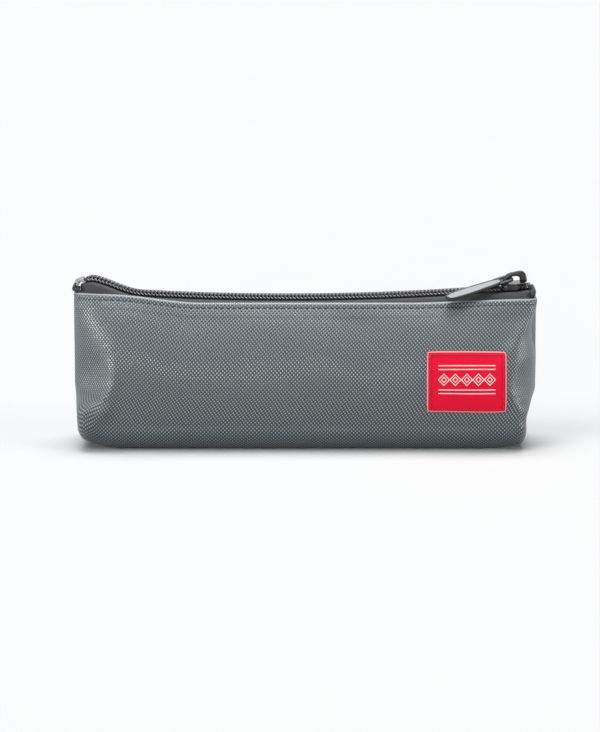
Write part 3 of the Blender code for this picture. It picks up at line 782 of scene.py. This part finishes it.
def patch_piece():
    """A pillowed sheet: |u / a|^8 + |v / b|^8 keeps its middle flat and turns its edges down. Its
    face is up to 1.03 mm over the cloth and its underside 0.15 mm."""
    across, up = np.meshgrid(np.linspace(-0.5, 0.5, 61) * label_length,
                             np.linspace(-0.5, 0.5, 45) * label_height)
    corner = (np.abs(across) / (label_length / 2)) ** 8 + (np.abs(up) / (label_height / 2)) ** 8
    hold = 1.0 - 0.022 * np.clip(corner - 1.0, 0.0, 1.0)
    within = ((np.abs(across) <= label_length / 2 - 2.0 * mm)
              & (np.abs(up) <= label_height / 2 - 2.0 * mm))
    sink = ease((corner - 0.35) / 0.9)
    lift = 0.3 * mm + 0.65 * mm * (1.0 - 0.45 * sink) + 0.08 * mm * within
    cloth_below, out = on_front(label_x + across * hold, label_z + up * hold)
    return sheet_piece("patch", cloth_below + lift[..., None] * out, cloth_below + 0.15 * mm * out,
                       across, up, patch_finish(), "patch", "label")


patch = patch_piece()
patch_thread = 0.38 * mm
patch_thread_lift = 0.92 * mm
patch_row_inset = 1.5 * mm
patch_stitch = 2.1 * mm


def patch_border():
    """Stitched runs along the four sides of the patch, an inset in from its edges."""
    half = np.array([label_length / 2 - patch_row_inset, label_height / 2 - patch_row_inset])
    corners = half * [(-1, -1), (1, -1), (1, 1), (-1, 1), (-1, -1)]
    t = np.linspace(0.0, 1.0, 60)[:, None]
    runs = []
    for start, end in zip(corners[:-1], corners[1:]):
        place = start * (1.0 - t) + end * t
        path, out = on_front(label_x + place[:, 0], label_z + place[:, 1],
                             patch_thread_lift)
        runs.append(stitch_points(path, out, patch_stitch, patch_thread))
    return runs


red_thread = thread_finish("red thread", (0.30, 0.004, 0.014), (0.62, 0.010, 0.035), 0.6 * mm)
thread_piece("patch_stitches", patch_border(), "patch", red_thread)

# %% [markdown]
# ## The zip
# The chain follows one long arc over the mouth, curls up near the left end and drops again over
# its stop. Each half is a nylon filament wound into a coil. A turn goes out over the top, bends
# round the head and comes back underneath, and it gains its pitch on the outer bend. The heads of
# one half fall between the heads of the other, half a pitch away.

# %% The zip's track
track_low_x = -8.0 * mm
track_low_z = 66.0 * mm
track_radius = 1150.931 * mm
curl_start = -72.0 * mm
curl_run = 24.0 * mm
curl_height = 5.4 * mm
droop_start = -92.0 * mm
droop_radius = 12.4 * mm
chain_left = -96.7 * mm
chain_right = 98.3 * mm
pitch = 1.64 * mm
slider_x = 92.2 * mm
spread_from = -3.0 * mm
spread_to = 1.2 * mm
coil_spread = 1.4 * mm


def track(x, y, height):
    """Points over the zip: an arc's radius less the height, plus the curl, less the droop."""
    turn = np.arcsin((x - track_low_x) / track_radius)
    radius = track_radius - height
    curl = curl_height * ease((curl_start - x) / curl_run)
    droop = np.clip(droop_start - x, 0.0, None) ** 2 / (2.0 * droop_radius)
    px = track_low_x + radius * np.sin(turn)
    pz = track_low_z + track_radius - radius * np.cos(turn) + curl - droop
    return np.stack(np.broadcast_arrays(px, y, pz), axis=-1)


def spread_at(x):
    """How far a coil is out from the middle, which it is past the slider's post."""
    return coil_spread * ease((x - slider_x - spread_from) / (spread_to - spread_from))


turns = int((chain_right - chain_left) / pitch) + 2
print("turns in each coil:", turns)

# %% Wind the coils
nylon_radius = 0.37 * mm
coil_half_height = 0.77 * mm
coil_out = 2.57 * mm
coil_in = -0.27 * mm
coil_steps = 18
coil_sides = 8


def speckled(name, colour, colours, rough, lumps, depth, metallic=0.0):
    """One fine noise gives the colour, the roughness and a slight relief."""
    finish, inputs = new_finish(name, colour, rough[0], metallic)
    speck = noise(room_place(finish), *lumps)
    put(inputs["Roughness"], speck * rough[1] + rough[0])
    put(inputs["Base Color"], blend(speck, *colours))
    bump(inputs, speck, depth)
    return finish


def coil_piece(name, side, lag, node):
    """Across, a signed |cos|^(2/3) between coil_in and coil_out; in height a signed |sin|^(2/3);
    along, pitch (t + sin(2 pi t) / 2.4 pi), held between the chain's ends."""
    t = np.arange(turns * coil_steps + 1) / coil_steps - 0.5
    theta = 2.0 * math.pi * t
    power = 2.0 / 3.0
    reach = (coil_out - coil_in) / 2
    y = (coil_out + coil_in) / 2 + reach * signed_power(np.cos(theta), power)
    x = chain_left + lag + pitch * (t - 0.5 + np.sin(theta) / (2.4 * math.pi))
    x = np.clip(x, chain_left, chain_right)
    path = track(x, side * (y + spread_at(x)),
                 coil_half_height * signed_power(np.sin(theta), power))
    head = 1.0 + 0.10 * np.exp(-((y - coil_in) / (0.5 * mm)) ** 2)
    shape = (section(1.08 * nylon_radius, 0.9 * nylon_radius, 2.3, coil_sides)
             * np.stack([head, np.ones_like(head)], axis=-1)[:, None])
    add_piece(name, carry(path, along_x, shape), tube_quads(len(t), coil_sides), nylon, "case",
              "nylon", replaces=[node])


nylon = speckled("nylon filament", (0.022, 0.021, 0.023),
                 ((0.012, 0.012, 0.013), (0.040, 0.038, 0.040)), (0.30, 0.25), (0.25 * mm, 4.0),
                 0.02 * mm)
coil_piece("front_coil", -1, 0.0, "zip_coil_front")
coil_piece("back_coil", 1, pitch / 2, "zip_coil_back")

# %% [markdown]
# ## The tapes and the sewing on the coils
# Each tape starts under its coil, goes out and turns down behind the hem. Its line across is known
# at five places, and these are joined by a smoothed line. Two thread rows on each coil hold it to
# the tape, and the one at its side gives the chain its look of a braided cord; that row's thread
# is painted pale, a painted highlight for the shine of its stitches.

# %% The tapes
tape_length = 0.1984
tape_thickness = 0.5 * mm
tape_inner = 1.3 * mm
tape_flat = 6.3 * mm
tape_level = -1.4 * mm
facet_gap = 0.45 * mm


def wall_depth(x, share, inset):
    """Depth of the wall at each place along X, at one share of its height, less an inset."""
    line_x, line_y = inset_line(np.array([[share]]), inset, turns=12, straights=40)
    return np.interp(x, line_x[0], line_y[0])


def smooth_line(lines, count, soft):
    """Resamples each row's corner points evenly by index and averages near ones, ends kept."""
    corners = lines.shape[1]
    at = np.linspace(0.0, corners - 1.0, count)
    low = np.minimum(at.astype(int), corners - 2)
    part = (at - low)[None, :, None]
    fine = lines[:, low] * (1.0 - part) + lines[:, low + 1] * part
    for _ in range(soft):
        fine[:, 1:-1] = (fine[:, :-2] + 2.0 * fine[:, 1:-1] + fine[:, 2:]) / 4.0
    return fine


def tape_piece(name, side, node):
    """Upper face through the known places; the lower face is a thickness inside it."""
    x = np.linspace(-tape_length / 2, tape_length / 2, 260)
    hem_room = wall_depth(x, 1.0, hem_thickness) - facet_gap
    flat = np.minimum(tape_flat, hem_room - tape_thickness / 2)
    lines = [track(x, side * reach, tape_level) for reach in (tape_inner, flat)]
    for drop in (0.0, hem_width / 2, hem_width - 0.3 * mm):
        share = 1.0 - drop / mouth_height
        z = wall_z(x, share) - (tape_thickness if drop == 0.0 else 0.0)
        y = side * (wall_depth(x, share, hem_thickness) - facet_gap)
        lines.append(np.stack([lines[1][:, 0], y, z], axis=-1))
    upper = smooth_line(np.stack(lines, axis=1), 33, 6)
    step = side * unit(np.gradient(upper[..., 1:], axis=1))
    inward = np.stack([0.0 * step[..., 0], step[..., 1], -step[..., 0]], axis=-1)
    v = lengths(upper, 1)
    u = np.broadcast_to(x[:, None], v.shape)
    piece = sheet_piece(name, upper, upper + tape_thickness * inward, u, v, tape, "tape", node)


def herringbone():
    """Slanted ribs that turn back on each other every 1.6 mm across the tape."""
    finish, inputs = new_finish("zip tape weave", (0.020, 0.020, 0.022), 0.8, specular=0.3)
    place, u, v = cloth_place(finish)
    rib = (u + v.there_and_back(1.6 * mm)).wave(0.75 * mm)
    height = (v.wave(0.45 * mm) * 0.35 + rib) * 0.37 + 0.5
    lit = (height * (noise(place, 0.3 * mm, 3.0) * 0.9 + 0.5)).held()
    put(inputs["Base Color"], blend(lit, (0.010, 0.010, 0.011), (0.105, 0.105, 0.113)))
    put(inputs["Sheen Weight"], 0.06)
    bump(inputs, height, 0.12 * mm)
    return finish


tape = herringbone()
tape_piece("front_tape", -1, "zip_tape_front")
tape_piece("back_tape", 1, "zip_tape_back")

# %% Sewing along the coils
def coil_sewing(side, lag, place, height, out, *stitch):
    """A row of slanted stitches on a coil, at a place across it and a height; out points away."""
    x = np.linspace(chain_left + lag, chain_right - 12.0 * mm, 1200)
    path = track(x, side * (place + spread_at(x)), height)
    return stitch_points(path, np.broadcast_to(out, path.shape), *stitch)


rings = 8
black_thread = thread_finish("black thread", (0.030, 0.030, 0.033), (0.17, 0.17, 0.18),
                             0.5 * mm)
thread_piece("coil_sewing", [
    coil_sewing(side, lag, 1.75 * mm, coil_half_height + 0.26 * mm, upwards,
                pitch / 2, 0.30 * mm, rings, 0.45 * mm, 0.5)
    for side, lag in ((-1, 0.3 * mm), (1, 1.1 * mm))], "tape", black_thread)
# Painted highlight: the side row's thread is pale to stand in for the shine on its stitches.
pale_thread = thread_finish("side thread with painted highlights", (0.12, 0.12, 0.125), (0.62, 0.62, 0.64), 0.5 * mm)
thread_piece("side_sewing", [
    coil_sewing(side, 0.5 * mm, coil_out + 0.30 * mm, -0.10 * mm, np.array([0.0, side, 0.12]),
                pitch, 0.42 * mm, rings, -side * 1.0 * mm, 2.0)
    for side in (-1, 1)], "tape", pale_thread)

# %% [markdown]
# ## Metal, seams and what is inside
# The slider is cast zinc under glossy black enamel, and the bottom stop is bright pressed metal.
# Enamel isn't perfectly even, so it has a slight orange peel and finely rubbed patches. The
# binding of the seams inside is a ribbed tape with a soft fuzz.

# %% Enamel, bright metal and binding tape
def enamel(name, colour, roughness):
    """Glossy coat with a faint ripple and patches of fine wear."""
    finish, inputs = new_finish(name, colour, roughness, specular=0.3)
    place = room_place(finish)
    wear_and_fold_highlight = noise(place, 0.35 * mm, 5.0)
    put(inputs["Roughness"], wear_and_fold_highlight * 0.22 + (roughness - 0.08))
    put(inputs["Base Color"], blend(wear_and_fold_highlight, [c * 0.7 for c in colour], [c * 1.5 for c in colour]))
    put(inputs["Coat Weight"], 0.25)
    put(inputs["Coat Roughness"], 0.12)
    bump(inputs, noise(place, 0.9 * mm), 0.04 * mm)
    return finish


def binding_finish():
    """Ribbed tape on object coordinates: fine cross ribs and a soft fuzz."""
    finish, inputs = new_finish("binding tape", (0.024, 0.025, 0.028), 0.85, specular=0.25)
    place = room_place(finish)
    x, _, z = parts_of(place)
    fuzz = noise(place, 0.4 * mm, 4.0)
    put(inputs["Base Color"], blend(fuzz, (0.012, 0.013, 0.015), (0.045, 0.047, 0.052)))
    bump(inputs, (x + z).wave(0.6 * mm) * 0.3 + fuzz, 0.12 * mm)
    return finish


black_enamel = enamel("black enamel", (0.011, 0.011, 0.012), 0.24)
bright = speckled("bright stop", (0.24, 0.235, 0.235),
                  ((0.21, 0.205, 0.205), (0.27, 0.262, 0.262)), (0.42, 0.15), (0.8 * mm, 3.0),
                  0.02 * mm, 1.0)
melted = enamel("melted nylon", (0.030, 0.030, 0.032), 0.16)
binding = binding_finish()
print("finishes:", black_enamel.name, bright.name, binding.name)

# %% [markdown]
# ## The folded ends of the tapes
# Past its stops each tape is folded over and caught in the end seam. The fold is a small dark nose
# above the hem: a closed line in the XZ plane, carried across, drawn in at its two sides and parted
# by a shallow groove where the two tapes meet.

# %% Fold the tapes' ends
fold_rings = 31
fold_sides = 48


def fold_piece(name, corners, half, node):
    """The corners' line, rounded by averages, scaled across by 1 - 0.3 |y / half|^8 less the
    groove, 0.05 exp(-(y / 0.06 half)^2)."""
    corners = np.array(corners) * mm
    closed = np.concatenate([corners, corners[:1]])
    length = lengths(closed)
    at = np.linspace(0.0, length[-1], fold_sides + 1)[:-1]
    line = np.stack([np.interp(at, length, closed[:, i]) for i in (0, 1)], axis=1)
    for _ in range(3):
        line = (np.roll(line, 1, axis=0) + 2.0 * line + np.roll(line, -1, axis=0)) / 4.0
    middle = line.mean(axis=0)
    across = np.sin(np.linspace(-0.5, 0.5, fold_rings) * math.pi)
    hold = 1.0 - 0.30 * np.abs(across) ** 8 - 0.05 * np.exp(-(across / 0.06) ** 2)
    shape = middle + hold[:, None, None] * (line - middle)
    y = np.broadcast_to(half * across[:, None], shape.shape[:2])
    around = np.broadcast_to(at, y.shape)
    add_piece(name, np.stack([shape[..., 0], y, shape[..., 1]], axis=-1),
              tube_quads(fold_rings, fold_sides), tape, "case", "tape",
              np.stack([y, around], axis=-1), [node])


fold_piece("left_tape_fold", [(-99.6, 69.05), (-99.6, 70.4), (-101.5, 70.4), (-101.6, 72.2),
                              (-102.5, 71.7), (-103.05, 70.4), (-102.7, 69.05)],
           4.6 * mm, "tape_end_left")
fold_piece("right_tape_fold", [(99.5, 66.95), (99.5, 69.5), (100.3, 69.7), (100.5, 71.1),
                               (101.5, 70.8), (102.0, 69.2), (101.6, 66.95)],
           7.4 * mm, "tape_end_right")

# %% [markdown]
# ## The slider
# A slider is two wings on a post. The upper wing is wide where the two coils come in and narrow
# where the closed chain leaves, and low walls at its sides hold the coils. The arch stands on it.
# Its parts are slabs with rounded rims and bars along a path, made lying flat and then turned onto
# the zip's arc at the slider's place.

# %% Slabs, and their way onto the slider
def slab(middle, reach, width, squareness, profile, sides=40):
    """Rings x = c + (a - d) cos, y = (w(x) - d) sin, to a power; the profile gives d and height."""
    cosine, sine = section(1.0, 1.0, squareness, sides).T
    inset, height = (column(value) * mm for value in zip(*profile))
    x = middle + (reach - inset) * cosine
    y = (width(x) - inset) * sine
    return np.stack([x, y, np.broadcast_to(height, x.shape)], axis=-1)


def rim(low, high, radius, dome=0.0, deep=1.6):
    """A slab's profile in mm: flat underneath, a quarter round, a wall, a quarter round, a top."""
    turn = np.linspace(0.0, math.pi / 2, 4)
    lower = [(radius * (1.0 - math.sin(a)), low + radius * (1.0 - math.cos(a))) for a in turn]
    upper = [(radius * (1.0 - math.cos(a)), high - radius * (1.0 - math.sin(a))) for a in turn]
    return [(deep, low), *lower, *upper, (0.5 * deep, high + 0.7 * dome), (deep, high + dome)]


def tilted(points, place, turn):
    """Turns x, y and height by an angle and sets them over the chain's middle at a place."""
    middle = track(place, 0.0, 0.0)
    cosine, sine = math.cos(turn), math.sin(turn)
    x, y, height = np.moveaxis(points, -1, 0)
    return np.stack([middle[0] + x * cosine - height * sine, y,
                     middle[2] + height * cosine + x * sine], axis=-1)


slider_turn = math.asin((slider_x - track_low_x) / track_radius)


def metal_piece(name, shells, body, nodes, finish=black_enamel):
    """Shells in the slider's own place as one piece."""
    points, quads = join(shells)
    add_piece(name, tilted(points, slider_x, slider_turn), quads, finish, body, "black_metal",
              replaces=nodes)


# %% The slider's body and arch
plate_top = 2.2 * mm


def wing(x):
    """Half width of the wings: narrow at the tail, wide at the nose."""
    return 4.3 * mm + 1.3 * mm * ease((x + 3.4 * mm) / (4.8 * mm))


def side_wall(side):
    """A low wall under the upper wing's edge, from the tail to just past the middle."""
    x = np.linspace(-4.4, 1.9, 24) * mm
    path = np.stack([x, side * (wing(x) - 0.55 * mm), np.full_like(x, 0.35 * mm)], axis=-1)
    fade = np.clip(np.minimum(x + 4.8 * mm, 2.3 * mm - x) / (0.9 * mm), 0.35, 1.0) ** 0.5
    shape = section(1.35 * mm, 0.42 * mm, 4.0, 12)
    return carry(path, upwards, shape * np.stack([fade, 0.5 + 0.5 * fade], axis=-1)[:, None])


post = slab(3.4 * mm, 1.7 * mm, lambda x: 0.5 * mm, 2.0,
            [(0.3, -2.2), (0.0, -2.1), (0.0, 1.6), (0.3, 1.7)], 16)
upper_wing = slab(0.0, 5.6 * mm, wing, 3.4, rim(1.42, 2.2, 0.34))
lower_wing = slab(0.0, 5.5 * mm, lambda x: wing(x) - 0.2 * mm, 3.4, rim(-3.0, -2.22, 0.3))
metal_piece("slider", [upper_wing, lower_wing, post, side_wall(-1), side_wall(1)], "slider",
            ["slider_body"])


def arch():
    """A bar between two superellipse arches, of exponent 2.2 at the left and 3.8 at the right;
    both are a little higher at the right, where the bar's leg is also thicker."""
    turn = np.linspace(math.pi, 0.0, 41)
    bend = 2.0 / (3.0 + 0.8 * np.tanh(3.0 * np.cos(turn)))
    cosine = signed_power(np.cos(turn), bend)
    rise = (0.97 + 0.06 * cosine) * np.sin(turn) ** bend
    outer, inner = (
        np.stack([shift + reach * cosine, 0.0 * turn, plate_top - 0.2 * mm + height * rise],
                 axis=-1)
        for shift, reach, height in ((0.75 * mm, 5.50 * mm, 4.95 * mm),
                                     (0.62 * mm, 2.45 * mm, 2.95 * mm)))
    half = np.linalg.norm(outer - inner, axis=-1) / 2
    widths = np.stack([half, np.full_like(half, 0.97 * mm)], axis=-1)[:, None]
    return carry((outer + inner) / 2, outer - inner, section(1.0, 1.0, 2.8, 20) * widths)


metal_piece("slider_arch", [arch()], "slider", ["slider_crown"])

# %% [markdown]
# ## The puller
# The puller is a cast tab with a raised black rim and a sunk face, left bare here; the face's pale
# grey is a painted reflection of the bright room in its black enamel. Its eye is a loop whose end
# bar goes through the arch. The tab's rings step in from the rim's outer edge over its crest and
# down to the face, and the loop is a bar bent round three sides.

# %% Tab, loop and face
puller_roll = math.radians(-13.0)
puller_dip = math.radians(7.8)
puller_turn = math.radians(-154.0)
bar_place = np.array([-1.1 * mm, 0.0, 4.2 * mm])
puller_lie = np.array(Matrix.Rotation(puller_turn, 3, "Z") @ Matrix.Rotation(puller_dip, 3, "Y")
                      @ Matrix.Rotation(puller_roll, 3, "X"))


def turned_puller(points):
    """Rolls, dips and turns points about the bar, in that order, as the puller rests."""
    return points @ puller_lie.T + bar_place


def tab_width(x):
    """Half width of the tab: a little wider towards its tip."""
    return 3.05 * mm + 0.55 * mm * ease((x - 8.0 * mm) / (18.0 * mm))


tab = slab(18.55 * mm, 14.15 * mm, tab_width, 3.6, [
    (1.9, -0.45), (1.1, -0.45), (0.95, -0.74), (0.5, -0.82), (0.12, -0.66), (0.0, -0.35),
    (0.0, 0.30), (0.12, 0.60), (0.45, 0.72), (0.8, 0.66), (0.95, 0.38), (1.9, 0.38)], 72)


def loop():
    """A flat bar round the eye, from one corner of the tab over the bar to the other corner."""
    turn = np.linspace(-1.0, 1.0, 49)
    y = 2.5 * mm * np.sin(np.clip(turn * 2.0, -1.0, 1.0) * math.pi / 2)
    x = np.where(np.abs(turn) < 0.5, 1.2 * mm * (1.0 - np.cos(turn * math.pi)),
                 1.2 * mm + (np.abs(turn) - 0.5) * 11.4 * mm)
    return carry(np.stack([x, y, 0.0 * x], axis=-1), upwards,
                 section(0.64 * mm, 0.85 * mm, 2.6, 14))


metal_piece("puller_tab", [turned_puller(tab), turned_puller(loop())], "puller", ["puller"])


def face_finish():
    """Paler grey in the sunk face, a painted reflection of the bright room in black enamel: a fine
    grain over soft clouds of 3 mm.
    """
    finish, inputs = new_finish("puller face", (0.50, 0.51, 0.53), 0.42, 0.6)
    place = room_place(finish)
    grain = noise(place, 0.35 * mm, 5.0)
    # Painted reflection: the paler grey stands in for the bright room mirrored in the black enamel.
    put(inputs["Base Color"], blend(grain * 0.5 + noise(place, 3.0 * mm) * 0.5,
                                    (0.22, 0.23, 0.24), (0.44, 0.45, 0.47)))
    put(inputs["Roughness"], grain * 0.3 + 0.24)
    bump(inputs, grain, 0.02 * mm)
    return finish


face = slab(18.6 * mm, 13.4 * mm, lambda x: tab_width(x) - 0.72 * mm, 3.6,
            [(1.2, 0.30), (0.0, 0.30), (0.0, 0.42), (0.15, 0.47), (0.6, 0.49), (1.2, 0.49)], 72)
metal_piece("puller_face", [turned_puller(face)], "puller", [], face_finish())

# %% [markdown]
# ## The stops
# The bottom stop is a strip of bright metal bent over the chain's end: its back is broad and its
# four prongs go down through the tapes. The top stops are small lumps of melted nylon.

# %% Stops, and finishes for the nodes that stay
stop_x = -99.2 * mm
stop_turn = 0.36


def prong(x, side):
    """A short bar that bends over the edge of the stop's back and goes down."""
    turn = np.linspace(0.0, 1.0, 14)
    y = side * (2.35 * mm + 0.45 * mm * np.sin(np.clip(turn * 2.2, 0.0, 1.0) * math.pi / 2))
    path = np.stack([np.full_like(y, x), y, 1.15 * mm - 2.1 * mm * ease(turn)], axis=-1)
    return carry(path, along_x, section(0.55 * mm, 0.24 * mm, 3.0, 12))


stop_back = slab(0.0, 2.2 * mm, lambda x: 2.85 * mm, 4.0, rim(0.10, 1.45, 0.30, 0.12, 1.5))
points, quads = join([stop_back] + [prong(x, side) for x in (-1.35 * mm, 1.35 * mm)
                                    for side in (-1, 1)])
add_piece("bright_stop", tilted(points, stop_x, stop_turn), quads, bright, "case", "bright_metal",
          replaces=["bottom_stop"])
for finish, nodes in (
    (melted, ["top_stop_front", "top_stop_back"]),
    (binding, ["end_binding_left", "end_binding_right", "corner_binding_left",
               "corner_binding_right", "base_binding"]),
):
    for node in nodes:
        for slot in bpy.data.objects[node].material_slots:
            slot.material = finish
print("melted nylon and binding are on their nodes")

# %% [markdown]
# ## Floor, light and camera
# The case stands on a plain pale floor. The main lamp is nearly overhead and a little behind, and
# leaves the narrow dark shadow along the front edge. A weaker key lamp and three low fills light
# the walls from the front and the sides, and a faint even light comes from all round.

# %% Floor
def seen_directly(tree):
    """One for what the camera sees, straight or in metal; nought for light on its way round."""
    rays = tree.nodes.new("ShaderNodeLightPath").outputs
    camera, glossy, through = (Value(tree, rays[f"Is {kind} Ray"])
                               for kind in ("Camera", "Glossy", "Transmission"))
    return camera.most(glossy).most(through)


def floor_finish():
    """Pale grey with the slightest mottling; it sends less light back up than it shows."""
    finish, inputs = new_finish("floor", (0.625, 0.629, 0.633), 0.75, specular=0.0)
    pale = blend(noise(room_place(finish), 60.0 * mm), (0.620, 0.624, 0.628),
                 (0.630, 0.634, 0.638))
    put(inputs["Base Color"], blend(seen_directly(finish.node_tree), (0.42, 0.42, 0.42), pale))
    return finish


# A level grid, large enough to reach past the view.
x, y = np.meshgrid(np.linspace(-3.0, 3.0, 5), np.linspace(-2.5, 6.0, 5))
floor_points = np.stack([x, y, np.full_like(x, -0.02 * mm)], axis=-1).reshape(-1, 3)
new_mesh("floor", floor_points, grid_quads(5, 5), floor_finish())

# %% Light
def sun(name, turn, rise, spread, strength):
    """A soft distant lamp, by its direction round the case and above the floor in degrees."""
    data = bpy.data.lights.new(name, "SUN")
    data.angle = math.radians(spread)
    data.energy = strength
    turn = math.radians(turn)
    rise = math.radians(rise)
    placed(name, data).rotation_euler = Vector((
        math.sin(turn) * math.cos(rise), -math.cos(turn) * math.cos(rise),
        math.sin(rise))).to_track_quat("Z", "Y").to_euler()


sun("key", -40.0, 50.0, 24.0, 0.90)
sun("top", 180.0, 85.0, 42.0, 3.25)
sun("front fill", -8.0, 9.0, 18.0, 0.72)
sun("left fill", -70.0, 7.0, 14.0, 1.85)
sun("right fill", 76.0, 7.0, 14.0, 1.75)
around = 0.12
world = bpy.data.worlds.new("studio")
world.use_nodes = True
bpy.context.scene.world = world
background = world.node_tree.nodes["Background"].inputs
put(background["Strength"], seen_directly(world.node_tree) * (1.0 - around) + around)
put(background["Color"], (0.985, 0.992, 1.0, 1.0))
print("lamps:", [light.name for light in bpy.data.lights])

# %% Camera
camera_distance = 1.5
camera_rise = math.radians(10.0)
camera_aim = np.array([-2.22, 0.0, 34.9]) * mm
frame_height = 325.4 * mm
sensor_width = 36.0
camera_data = bpy.data.cameras.new("camera")
camera_data.sensor_width = sensor_width
camera_data.lens = sensor_width * camera_distance / frame_height
camera = placed("camera", camera_data)
back_off = np.array([0.0, -math.cos(camera_rise), math.sin(camera_rise)]) * camera_distance
camera.location = camera_aim + back_off
camera.rotation_euler = (math.pi / 2 - camera_rise, 0.0, 0.0)
bpy.context.scene.camera = camera
bpy.context.scene.view_settings.view_transform = "Standard"
print("lens:", round(camera_data.lens, 1), "mm")
